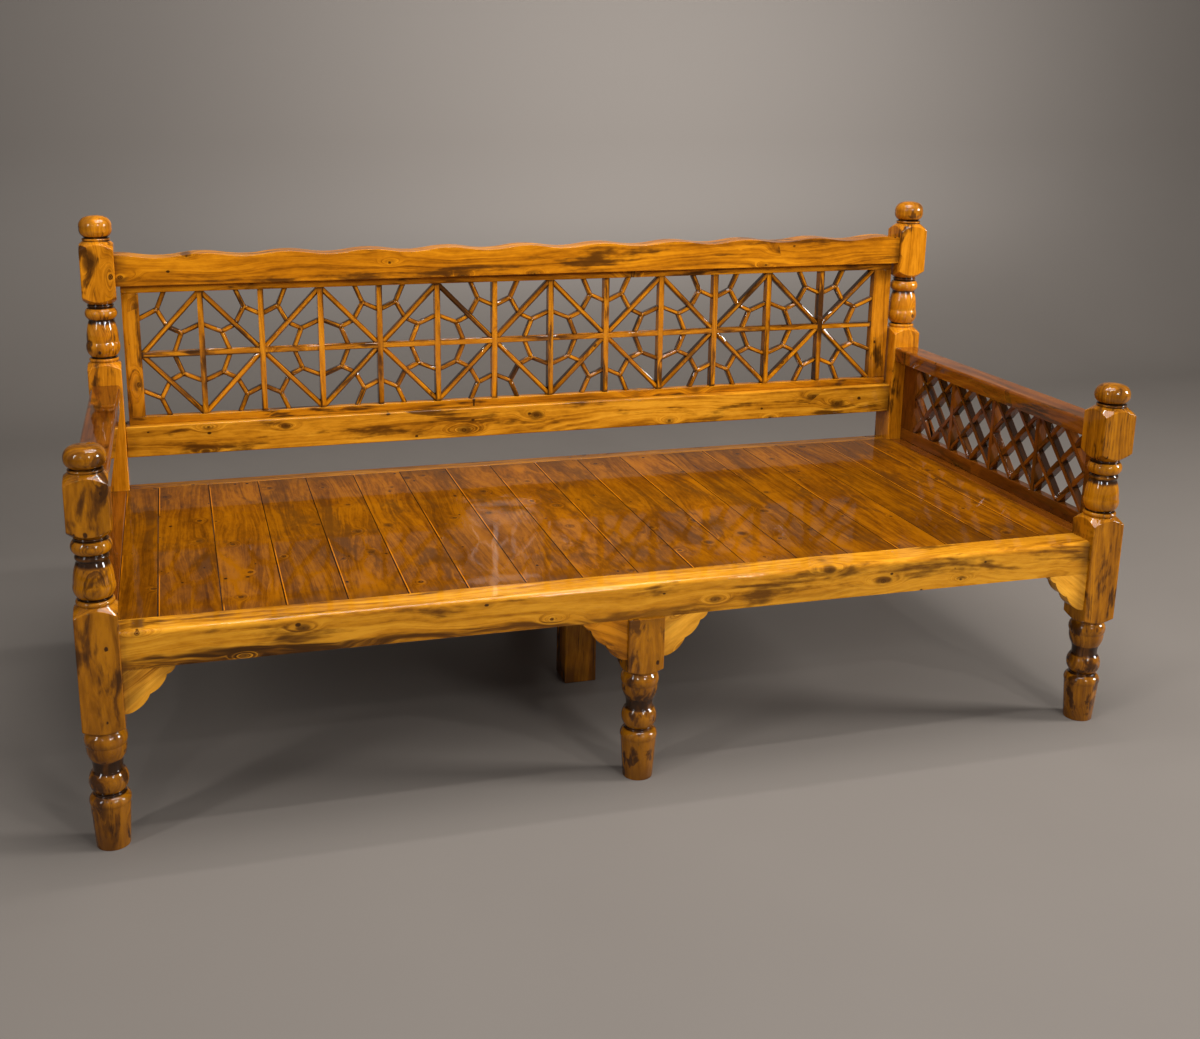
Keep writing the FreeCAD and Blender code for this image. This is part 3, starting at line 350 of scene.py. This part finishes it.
    # Painted highlight: a pale line along the top front edge, broken into patches, where the varnished arris
    # would catch the light.
    if arris_glint:
        line = s.math("MAXIMUM", from_low[1], from_high[2])
        glint_patches = s.spread(mottle, 0.30, 0.55, 0.35, 0.85)
        colour = s.mix(s.math("MULTIPLY", s.spread(line, arris_glint, arris_glint * 0.5), glint_patches), colour, (*PAINTED_GLINT, 1.0))

    # Relief under the varnish, and the varnish's own slow waves.
    relief = s.math("MULTIPLY_ADD", dark_line, 0.5, s.math("MULTIPLY", fibre, 0.5))
    bump = s.node("ShaderNodeBump", {"Strength": 0.3, "Distance": 0.0005, "Height": relief})
    flow = s.noise(s.scaled(grain, FLOW))
    ripples = s.node("ShaderNodeBump", {"Strength": waves, "Distance": 0.0010, "Height": flow})
    shader = s.node("ShaderNodeBsdfPrincipled", {
        "Base Color": colour, "Roughness": s.spread(burn_and_shade, 0.0, 1.0, 0.42, 0.55), "Normal": bump.outputs[0],
        "Specular IOR Level": 0.0, "Coat Weight": coat, "Coat Roughness": 0.05, "Coat IOR": gloss,
        "Coat Normal": ripples.outputs[0]})
    out = s.node("ShaderNodeOutputMaterial")
    s.tree.links.new(shader.outputs[0], out.inputs["Surface"])
    return s.material


# Which piece gets which wood.

POST = dict(along="Z", figure=0.3, knots=0.36, groove_shade=1.0, patch=(11.0, 24.0), coat=1.0, waves=0.35)
LONG_RAIL = dict(along="X", figure=0.8, through="wide")
BACK_RAIL = dict(LONG_RAIL, end_burn=0.8, soft=0.3, knot_size=0.75)
BRACKET_WOOD = dict(along="X", through="wide", knot_size=0.6)
GLOSSY_BARS = dict(figure=0.8, knots=0.3, coat=1.0, gloss=1.45, bars=True)
WOODS = {
    "post_pine": dict(POST, tones=AMBER, scorch=0.66),
    "back_post": dict(POST, tones=RUSSET, scorch=0.52),
    "plain_leg_pine": dict(along="Z", tones=GOLD, figure=0.9, scorch=0.6, knots=0.4, end_burn=0.8),
    "upper_rail": dict(BACK_RAIL, tones=GOLD, scorch=0.66, knots=0.5),
    "lower_rail": dict(BACK_RAIL, tones=HONEY, scorch=0.60, knots=0.6),
    "front_rail": dict(LONG_RAIL, tones=HONEY, scorch=0.66, knots=0.7, end_burn=0.9, arris_glint=0.0030,
                       low_burn_and_shade=0.9, soft=0.5, knot_size=0.65),
    "rail_pine_y": dict(along="Y", tones=CHESTNUT, figure=0.8, scorch=0.6, knots=0.4, coat=1.0, gloss=1.75),
    "under_pine": dict(along="X", tones=AMBER, figure=0.8, scorch=0.4, knots=0.4),
    "seat_pine": dict(along="Y", tones=SEAT, figure=0.45, scorch=0.84, knots=0.42, edge_burn=0.3, seams_and_lip_highlight=True,
                      patch=(5.0, 12.0), soft=0.6, oval=0.9, knot_size=0.8, coat=0.42, waves=0.45,
                      uneven=0.16),
    "lattice_x": dict(along="X", tones=GOLD, figure=0.8, scorch=0.65, knots=0.4),
    "lattice_z": dict(along="Z", tones=RUSSET, figure=0.8, scorch=0.7, knots=0.4),
    "lattice_bars": dict(GLOSSY_BARS, along="X", tones=GOLD, scorch=0.68, end_burn=1.0),
    "arm_y": dict(along="Y", tones=CHESTNUT, figure=0.8, scorch=0.7, knots=0.4, coat=1.0, gloss=1.5),
    "arm_z": dict(along="Z", tones=CHESTNUT, figure=0.8, scorch=0.7, knots=0.4, coat=1.0),
    "arm_bars": dict(GLOSSY_BARS, along="Y", tones=CHESTNUT, scorch=0.6, end_burn=0.9),
    "bracket_pine": dict(BRACKET_WOOD, tones=BRACKET, figure=1.0, scorch=0.50, knots=0.4, edge_burn=0.7,
                         tilt=0.6),
    # A darker, more scorched copy of the bracket wood for the middle-left bracket: painted shade as well as
    # burn.
    "bracket_shade_and_burn": dict(BRACKET_WOOD, tones=RUSSET, figure=1.2, scorch=1.15, knots=0.4, edge_burn=1.0,
                          tilt=-0.6),
    "bracket_pale": dict(BRACKET_WOOD, tones=BRACKET, figure=0.8, scorch=0.40, knots=0.3, edge_burn=0.8,
                         tilt=-0.5),
}
MATERIALS = {name: pine(name, **wood) for name, wood in WOODS.items()}
SINGLE = {"seat_rail_front": "front_rail", "back_rail_lower": "lower_rail", "back_rail_upper": "upper_rail",
          "post_back_left": "back_post", "post_back_right": "back_post",
          "bracket_middle_left": "bracket_shade_and_burn", "bracket_right": "bracket_pale"}


def wood_of(name):
    """The wood of a node: its own, its slot's, or the one whose grain runs along it."""
    slot = slots[name]
    if name in BARS:
        return "arm_bars" if name.startswith("arm") else "lattice_bars"
    if name in SINGLE:
        return SINGLE[name]
    if slot in ("post_pine", "plain_leg_pine", "seat_pine", "bracket_pine", "under_pine"):
        return slot
    low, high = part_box(name)
    size = high - low
    longest = "XYZ"[max(range(3), key=lambda axis: size[axis])]
    if slot == "rail_pine":
        return "under_pine" if longest == "X" else "rail_pine_y"
    if name.startswith("arm"):
        return "arm_y" if longest == "Y" else "arm_z"
    return "lattice_x" if longest == "X" else "lattice_z"


# Turned posts and legs, built afresh with a fine outline, and square blocks with rounded edges.

HALF_POST = 0.035
ARRIS = 0.0025
RIM = 1.5 * HALF_POST
LOW_SHOULDER, HIGH_SHOULDER, SHOULDER_EASE = 0.5, 0.8, 0.0011
MIDDLE_LEG_TOP, MIDDLE_LEG_LINE, TOP_EASE = 0.329, -0.415, 0.001

# Each turned point: its radius as a share of half the post, its height as a share of the stretch, and how
# far the line to the next point swells, as a share of its length
LEG_SHARES = [(0.815, 0.0, 0), (0.97, 0.365, 0.2), (0.8, 0.445, 0), (0.71, 0.454, 0), (0.72, 0.465, 0.2),
              (0.72, 0.65, -0.05), (0.78, 0.735, 0.08), (0.965, 0.862, 0.16), (0.875, 0.968, 0),
              (0.845, 0.98, 0)]
FRONT_WAIST_SHARES = [(0.83, 0.034, 0.42), (0.76, 0.105, 0), (0.7, 0.113, 0.17), (0.95, 0.33, 0.05),
                      (0.73, 0.625, 0), (0.75, 0.64, 0.2), (0.75, 0.708, 0), (0.72, 0.715, 0),
                      (0.8, 0.735, 0.235), (0.81, 0.908, 0), (0.73, 0.918, 0), (0.76, 0.928, 0.3),
                      (0.76, 0.95, 0), (0.8, 0.956, 0)]
BACK_WAIST_SHARES = [(0.83, 0.03, 0.42), (0.76, 0.088, 0), (0.71, 0.095, 0.17), (0.955, 0.35, 0.05),
                     (0.76, 0.69, 0), (0.8, 0.712, 0.25), (0.8, 0.888, 0), (0.72, 0.897, 0),
                     (0.74, 0.905, 0.35), (0.74, 0.943, 0), (0.72, 0.95, 0), (0.8, 0.959, 0)]
FINIAL_SHARES = [(0.78, 0.115, 0.45), (0.72, 0.215, 0), (0.66, 0.228, 0.17), (0.97, 0.56, 0.2),
                 (0.5, 0.965, 0.03)]
LEG_STRETCH = (0.0, 0.221)
FRONT_STRETCHES = [(FRONT_WAIST_SHARES, 0.439, 0.566), (FINIAL_SHARES, 0.664, 0.714)]
BACK_STRETCHES = [(BACK_WAIST_SHARES, 0.679, 0.815), (FINIAL_SHARES, 0.937, 0.997)]


FACE_STEPS, CORNER_STEPS = 11, 3


def column_angles():
    """Angles round the post: even across each face, close together at the rounded corners."""
    corner = math.atan((HALF_POST - ARRIS) / HALF_POST)
    octant = [corner * step / FACE_STEPS for step in range(FACE_STEPS + 1)]
    octant += [corner + (math.pi / 4 - corner) * step / CORNER_STEPS for step in range(1, CORNER_STEPS + 1)]
    face = [-angle for angle in reversed(octant[1:])] + octant[:-1]
    return np.array([turn * math.pi / 2 + angle for turn in range(4) for angle in face])


def square_radius(angles):
    """Distance from the axis to the side of the square post at each angle."""
    folded = np.abs((angles + math.pi / 4) % (math.pi / 2) - math.pi / 4)
    flat = HALF_POST / np.cos(folded)
    inner = HALF_POST - ARRIS
    reach = inner * (np.cos(folded) + np.sin(folded))
    rounded = reach + np.sqrt(np.maximum(reach ** 2 - 2 * inner ** 2 + ARRIS ** 2, 0.0))
    return np.where(folded < math.atan(inner / HALF_POST), flat, rounded)


def swelled(start, end, swell, steps=9):
    """Points after the start along the round, or straight line, that leads to the end."""
    (r1, z1), (r2, z2) = start, end
    if not swell:
        return [end]
    quarter = math.atan(2 * swell)
    size = (0.25 + swell * swell) / (2 * swell)
    points = []
    for step in range(1, steps):
        turn = 2 * quarter * (2 * step / steps - 1)
        along = 0.5 + size * math.sin(turn)
        out = size * (math.cos(turn) - math.cos(2 * quarter))
        points.append((r1 + along * (r2 - r1) + out * (z2 - z1), z1 + along * (z2 - z1) - out * (r2 - r1)))
    return points + [end]


def eased(points, most=0.0008):
    """The outline with each sharp corner rounded a little."""
    rows = [points[0]]
    for before, here, after in zip(points, points[1:], points[2:]):
        back, ahead = Vector(before) - Vector(here), Vector(after) - Vector(here)
        bend = math.pi - back.angle(ahead)
        if bend < math.radians(16):
            rows.append(here)
            continue
        near = Vector(here) + back.normalized() * min(most, back.length * 0.4)
        far = Vector(here) + ahead.normalized() * min(most, ahead.length * 0.4)
        rows += [tuple(near), tuple((near + 2 * Vector(here) + far) / 4), tuple(far)]
    return rows + [points[-1]]


def shoulder(square, turned_end, rim_point, upward):
    """Rows over the rounded edge where a turned shoulder runs out into the faces of the square."""
    slope = (rim_point[1] - turned_end[1]) / (rim_point[0] - turned_end[0])
    height = turned_end[1] + (square - turned_end[0]) * slope
    sign = 1.0 if upward else -1.0
    run = SHOULDER_EASE / math.hypot(1.0, slope)
    inner = (square - run, height - run * slope)
    outer = (square, height + sign * SHOULDER_EASE)
    crest = ((inner[0] + 2 * square + outer[0]) / 4, (inner[1] + 2 * height + outer[1]) / 4)
    return [inner, crest, outer, (square, height + sign * 0.003)]


def stretch_rows(square, shares, bottom, top, foot=False, crown=False):
    """Rows of one turned stretch from the bottom up, with the shoulders at its ends."""
    tall = top - bottom
    corners = [(radius * HALF_POST, bottom + height * tall) for radius, height, _ in shares]
    if crown:
        corners.append((0.0, top))
    points = [corners[0]]
    for here, there, (_, _, swell) in zip(corners, corners[1:], shares):
        points += swelled(here, there, swell)
    spread = RIM - HALF_POST
    low_rim = (RIM, bottom - HIGH_SHOULDER * spread)
    high_rim = (RIM, top + (LOW_SHOULDER if foot else HIGH_SHOULDER) * spread)
    lead = (points[0][0] - 0.002, 0.0) if foot else low_rim
    tail = points[-1] if crown else high_rim
    rounded = eased([lead] + points + ([] if crown else [tail]))
    rounded = rounded[0 if foot else 1:-1 if crown else -1]
    rows = [(np.full_like(square, r), np.full_like(square, z)) for r, z in rounded]
    if not foot:
        rows = shoulder(square, points[0], low_rim, False)[::-1] + rows
    if not crown:
        rows += shoulder(square, points[-1], high_rim, True)
    return rows


def turned_post(name, stretches, top=None):
    """A square post with turned stretches, standing where its node does, as one closed mesh."""
    angles = column_angles()
    square = square_radius(angles)
    rows = stretch_rows(square, LEG_SHARES, *LEG_STRETCH, foot=True)
    for shares, low, high in stretches:
        rows += stretch_rows(square, shares, low, high, crown=shares is FINIAL_SHARES)
    if top is not None:
        rows += [(square, np.full_like(square, top - TOP_EASE)),
                 (square - TOP_EASE, np.full_like(square, top))]
    low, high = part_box(name)
    centre = (low + high) / 2
    if "middle" in name:
        centre.y = MIDDLE_LEG_LINE
    count = len(angles)
    points = [(centre.x + r * math.cos(angle), centre.y + r * math.sin(angle), z)
              for radii, heights in rows for r, z, angle in zip(radii, heights, angles)]
    faces = [(row * count + i, row * count + (i + 1) % count, (row + 1) * count + (i + 1) % count,
              (row + 1) * count + i) for row in range(len(rows) - 1) for i in range(count)]
    faces.append(tuple(reversed(range(count))))
    last = (len(rows) - 1) * count
    if top is None:
        points.append((centre.x, centre.y, high.z))
        faces += [(last + i, last + (i + 1) % count, len(points) - 1) for i in range(count)]
    else:
        faces.append(tuple(range(last, last + count)))
    return stand_in(name, "turned_" + name, points, faces)


# Lattice bars, each cut out of its node's mesh and rounded along its edges.

# Points closer than this are one point
WELDED = 1e-5
# An edge is square to the depth below the first, and in line with its bar above the second
SQUARE_TO, IN_LINE = 1e-6, 0.999
BAR_ROUND_STEPS = 4


def solids_of(name):
    """The closed solids of a node, each as welded points and triangles, in the order of its mesh."""
    mesh = nodes[name].data
    points, places, triangles, open_edges = [], {}, [], set()
    for face in mesh.polygons:
        corners = []
        for index in face.vertices:
            spot = mesh.vertices[index].co
            key = tuple(round(value / WELDED) for value in spot)
            if key not in places:
                places[key] = len(points)
                points.append(spot.copy())
            corners.append(places[key])
        triangles.append(corners)
        for pair in zip(corners, corners[1:] + corners[:1]):
            open_edges ^= {tuple(sorted(pair))}
        if not open_edges:
            yield points, triangles
            points, places, triangles = [], {}, []


def rank(run):
    """Sorts level edges by length and then by direction, so that every run picks the same one."""
    return round(run.length, 6), tuple(round(value, 5) for value in run), tuple(run)


def rounded_bar(points, triangles, depth_axis, front, back):
    """One bar as a bmesh with its long edges rounded, with its middle, its axes and half its size."""
    made = bmesh.new()
    for point in points:
        made.verts.new(point)
    made.verts.ensure_lookup_table()
    for corners in triangles:
        made.faces.new([made.verts[index] for index in corners])
    bmesh.ops.dissolve_limit(made, angle_limit=0.002, verts=made.verts[:], edges=made.edges[:])
    deep = Vector([float(axis == depth_axis) for axis in range(3)])
    runs = [edge.verts[1].co - edge.verts[0].co for edge in made.edges]
    level = [max(run, -run, key=rank) for run in runs if abs(deep.dot(run)) < SQUARE_TO]
    along = max(level, key=rank).normalized()
    wide = along.cross(deep)
    axes = (along, wide, deep)
    spans = [[axis.dot(vert.co) for vert in made.verts] for axis in axes]
    middle = sum((axis * (min(span) + max(span)) / 2 for axis, span in zip(axes, spans)), Vector())
    half, half_wide = ((max(span) - min(span)) / 2 for span in spans[:2])
    mid_depth = deep.dot(middle)
    for size, wanted in ((front, lambda depth: depth < mid_depth), (back, lambda depth: depth > mid_depth)):
        edges = []
        for edge in made.edges:
            run = edge.verts[1].co - edge.verts[0].co
            depth = deep.dot((edge.verts[0].co + edge.verts[1].co) / 2)
            at_side = abs(deep.dot(run)) < SQUARE_TO and abs(run.normalized().dot(along)) > IN_LINE
            if at_side and wanted(depth) and len(edge.link_faces) == 2:
                edges.append(edge)
        bmesh.ops.bevel(made, geom=edges, offset=size, segments=BAR_ROUND_STEPS, affect="EDGES",
                          clamp_overlap=True)
    return made, middle, axes, half, half_wide


def bar_lattice(name, depth_axis, front, back):
    """All the bars of a node as one mesh, with each point's place in its own bar."""
    points, faces, place, facts = [], [], [], []
    for number, (spots, triangles) in enumerate(solids_of(name)):
        made, middle, axes, half, half_wide = rounded_bar(spots, triangles, depth_axis, front, back)
        offset = len(points)
        seed = (number * GOLDEN + 0.31) % 1.0
        settled = sorted(made.verts, key=lambda vert: tuple(vert.co))
        for index, vert in enumerate(settled):
            vert.index = index + offset
            apart = vert.co - middle
            points.append(tuple(vert.co))
            place.append(tuple(apart.dot(axis) for axis in axes))
            facts.append((seed, half, half_wide))
        rings = [[vert.index for vert in face.verts] for face in made.faces]
        faces += sorted(tuple(ring[ring.index(min(ring)):] + ring[:ring.index(min(ring))]) for ring in rings)
        made.free()
    thing = stand_in(name, "carved_" + name, points, faces)
    for key, values in (("bar_place", place), ("bar_facts", facts)):
        layer = thing.data.attributes.new(key, "FLOAT_VECTOR", "POINT")
        layer.data.foreach_set("vector", [number for row in values for number in row])
    return thing


def stand_in(node, name, points, faces):
    """A new mesh that is shown in place of a CAD node, which it hides, on the root body."""
    mesh = bpy.data.meshes.new(name)
    mesh.from_pydata(points, [], faces)
    mesh.update()
    thing = bpy.data.objects.new(name, mesh)
    bpy.context.scene.collection.objects.link(thing)
    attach(thing, "root")
    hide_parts(node)
    return thing


def soften(name, angle):
    """A geometry group that welds a mesh's facets and shades them smooth below an angle."""
    group = bpy.data.node_groups.new(name, "GeometryNodeTree")
    group.interface.new_socket("Geometry", in_out="INPUT", socket_type="NodeSocketGeometry")
    group.interface.new_socket("Geometry", in_out="OUTPUT", socket_type="NodeSocketGeometry")
    enter, leave = group.nodes.new("NodeGroupInput"), group.nodes.new("NodeGroupOutput")
    weld = group.nodes.new("GeometryNodeMergeByDistance")
    weld.inputs["Distance"].default_value = WELDED
    clear = group.nodes.new("GeometryNodeRemoveAttribute")
    clear.inputs["Name"].default_value = "custom_normal"
    smooth = group.nodes.new("GeometryNodeSetShadeSmooth")
    sharp = group.nodes.new("GeometryNodeSetShadeSmooth")
    sharp.domain = "EDGE"
    sharp.inputs["Shade Smooth"].default_value = False
    edge = group.nodes.new("GeometryNodeInputMeshEdgeAngle")
    over = group.nodes.new("ShaderNodeMath")
    over.operation = "GREATER_THAN"
    over.inputs[1].default_value = angle
    link = group.links.new
    link(enter.outputs[0], weld.inputs[0])
    link(weld.outputs[0], clear.inputs[0])
    link(clear.outputs[0], smooth.inputs["Geometry"])
    link(smooth.outputs[0], sharp.inputs["Geometry"])
    link(edge.outputs["Unsigned Angle"], over.inputs[0])
    link(over.outputs[0], sharp.inputs["Selection"])
    link(sharp.outputs[0], leave.inputs[0])
    return group


SMOOTH = soften("soften_edges", math.radians(38))
BEVEL_ABOVE = math.radians(32)

# How far the edges of each kind of piece are rounded, in metres
EDGE_ROUND = {"seat_board": 0.0009, "seat_rail": 0.0016, "back_rail": 0.0022, "back_batten": 0.0014,
              "back_stile": 0.0016, "arm_rail": 0.0015, "arm_sill": 0.0014, "arm_stile": 0.0016,
              "bracket": 0.0018, "leg": 0.003, "seat_bearer": 0.002, "seat_ledger": 0.0015}

POSTS = {"post_front_left": FRONT_STRETCHES, "post_front_right": FRONT_STRETCHES,
         "post_back_left": BACK_STRETCHES, "post_back_right": BACK_STRETCHES, "leg_front_middle": []}

# Each lattice: the axis of its depth, and how far its bars are rounded in front and behind
BARS = {"back_rings": (1, 0.0034, 0.0015), "back_diagonals": (1, 0.0036, 0.0015),
        "back_uprights": (1, 0.0014, 0.0012), "back_middle_bar": (1, 0.0014, 0.0012)}
for hand in ("left", "right"):
    BARS["arm_slants_" + hand] = (0, 0.0024, 0.0024)
    BARS["arm_uprights_" + hand] = (0, 0.0020, 0.0020)

for order, name in enumerate(sorted(nodes)):
    if name in POSTS:
        thing = turned_post(name, POSTS[name], top=None if POSTS[name] else MIDDLE_LEG_TOP)
    elif name in BARS:
        thing = bar_lattice(name, *BARS[name])
    else:
        thing = nodes[name]
    thing["seed"] = (order * GOLDEN) % 1.0
    low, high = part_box(name)
    centre = (low + high) / 2
    standing = slots[name] in ("post_pine", "plain_leg_pine")
    thing["axis"] = [centre.x, centre.y, 0.0] if standing else [0.0, 0.0, 0.0]
    thing["lowest"], thing["highest"] = list(low), list(high)
    thing.data.materials.clear()
    thing.data.materials.append(MATERIALS[wood_of(name)])
    grouped = thing.modifiers.new("soften", "NODES")
    grouped.node_group = SMOOTH
    if name not in POSTS and name not in BARS:
        kind = max((key for key in EDGE_ROUND if name.startswith(key)), key=len)
        bevel = thing.modifiers.new("ease", "BEVEL")
        bevel.width = EDGE_ROUND[kind]
        bevel.segments = 2
        bevel.limit_method = "ANGLE"
        bevel.angle_limit = BEVEL_ABOVE
        bevel.use_clamp_overlap = True
    weigh = thing.modifiers.new("weigh", "WEIGHTED_NORMAL")
    weigh.keep_sharp = True
    weigh.weight = 60


# The room: a pale floor that curves up into a pale wall, and soft lamps.

ROOM_REACH, WALL_LINE, WALL_TOP = 16.0, 3.4, 6.0
BEND, BEND_STEPS = 1.0, 12


def sweep():
    """A floor and wall in one sheet, far larger than the view."""
    profile = [(-ROOM_REACH, 0.0)]
    for step in range(BEND_STEPS + 1):
        turn = math.radians(90 * step / BEND_STEPS)
        profile.append((WALL_LINE - BEND + BEND * math.sin(turn), BEND - BEND * math.cos(turn)))
    profile.append((WALL_LINE, WALL_TOP))
    mesh = bpy.data.meshes.new("floor")
    points = [(x, y, z) for x in (-ROOM_REACH, ROOM_REACH) for y, z in profile]
    count = len(profile)
    faces = [(i, count + i, count + i + 1, i + 1) for i in range(count - 1)]
    mesh.from_pydata(points, [], faces)
    mesh.polygons.foreach_set("use_smooth", [True] * len(faces))
    made = bpy.data.objects.new("floor", mesh)
    bpy.context.scene.collection.objects.link(made)
    return made


def floor_paint():
    """A mottled grey with a painted pool of light that makes the middle of the wall paler."""
    s = Shader("floor")
    ground = s.node("ShaderNodeTexCoord").outputs["Object"]
    mottle = s.noise(s.scaled(ground, (1.3, 1.3, 1.3)), detail=4.0)
    tint = s.mix(mottle, (0.150, 0.130, 0.113, 1.0), (0.172, 0.150, 0.130, 1.0))
    east, _, height = s.split(ground)
    middle = s.vector("LENGTH", s.join(s.math("MULTIPLY_ADD", east, 0.42, -0.55), 0.0,
                                       s.math("MULTIPLY_ADD", height, 0.4, -0.55)))
    painted_glow = s.math("MULTIPLY", s.spread(middle, 1.3, 0.0), s.spread(height, 0.1, 0.7))
    tint = s.mix(painted_glow, tint, (0.33, 0.290, 0.257, 1.0))
    surface = s.node("ShaderNodeBsdfPrincipled", {"Base Color": tint, "Roughness": 0.55,
                                                  "Specular IOR Level": 0.2})
    # The sheet has one side, so that views from behind the wall look into the room.
    outside = s.math("MULTIPLY", s.node("ShaderNodeNewGeometry").outputs["Backfacing"],
                     s.node("ShaderNodeLightPath").outputs["Is Camera Ray"])
    one_sided = s.node("ShaderNodeMixShader", {0: outside, 1: surface.outputs[0],
                                               2: s.node("ShaderNodeBsdfTransparent").outputs[0]})
    s.tree.links.new(one_sided.outputs[0], s.node("ShaderNodeOutputMaterial").inputs["Surface"])
    return s.material


floor = sweep()
floor.data.materials.append(floor_paint())


def lamp(name, place, target, size, power):
    light = bpy.data.lights.new(name, "AREA")
    light.shape = "RECTANGLE"
    light.size, light.size_y = size
    light.energy = power
    made = bpy.data.objects.new(name, light)
    made.location = place
    made.rotation_euler = (Vector(target) - Vector(place)).to_track_quat("-Z", "Y").to_euler()
    made.visible_camera = False
    bpy.context.scene.collection.objects.link(made)


# Each lamp's place, what it points at, its size in metres and its power in watts
SEAT_MIDDLE = (0.2, 0.0, 0.4)
lamp("right", (4.6, -1.6, 2.1), SEAT_MIDDLE, (0.9, 1.3), 215)
lamp("front", (0.9, -3.7, 2.3), (0.2, 0.0, 0.5), (0.4, 0.9), 46)
lamp("left", (-3.3, -2.0, 2.2), (-0.2, 0.0, 0.4), (0.22, 1.6), 38)
lamp("spark_right", (1.7, -3.2, 2.7), SEAT_MIDDLE, (0.13, 0.13), 22)
lamp("spark_left", (-1.9, -3.3, 2.4), (0.0, 0.0, 0.4), (0.12, 0.12), 12)
lamp("top", (0.3, -0.3, 3.4), SEAT_MIDDLE, (2.4, 1.4), 70)
lamp("top_front", (0.2, -1.1, 3.3), SEAT_MIDDLE, (1.9, 0.09), 26)
lamp("top_back", (0.2, 0.3, 3.3), SEAT_MIDDLE, (1.9, 0.09), 22)

world = bpy.data.worlds.new("studio")
bpy.context.scene.world = world
world.use_nodes = True
sky = world.node_tree.nodes["Background"]
sky.inputs["Color"].default_value = (0.93, 0.96, 1.0, 1.0)
sky.inputs["Strength"].default_value = 0.22


# The camera stands where the photograph was taken from.

IMAGE_WIDTH, IMAGE_HEIGHT = 1200.0, 1039.0
SENSOR = 36.0
FOCAL_PIXELS = 1371.416
PRINCIPAL = (556.238, 417.470)
YAW, PITCH, ROLL = -0.274981, 0.245519, -0.009610    # radians
EYE = (-0.8116, -2.6619, 1.2964)

camera_data = bpy.data.cameras.new("camera")
camera_data.sensor_width = SENSOR
camera_data.lens = SENSOR * FOCAL_PIXELS / IMAGE_WIDTH
camera_data.shift_x = (IMAGE_WIDTH / 2 - PRINCIPAL[0]) / IMAGE_WIDTH
camera_data.shift_y = (PRINCIPAL[1] - IMAGE_HEIGHT / 2) / IMAGE_WIDTH
camera_data.clip_end = 50.0
forward = Vector((-math.sin(YAW) * math.cos(PITCH), math.cos(YAW) * math.cos(PITCH), -math.sin(PITCH)))
right = Vector((math.cos(YAW), math.sin(YAW), 0.0))
down = forward.cross(right)
rolled_right = math.cos(ROLL) * right + math.sin(ROLL) * down
rolled_down = -math.sin(ROLL) * right + math.cos(ROLL) * down
aim = Matrix((rolled_right, -rolled_down, -forward)).transposed().to_4x4()
camera = bpy.data.objects.new("camera", camera_data)
camera.matrix_world = Matrix.Translation(EYE) @ aim
bpy.context.scene.collection.objects.link(camera)
bpy.context.scene.camera = camera
bpy.context.scene.view_settings.view_transform = "Standard"
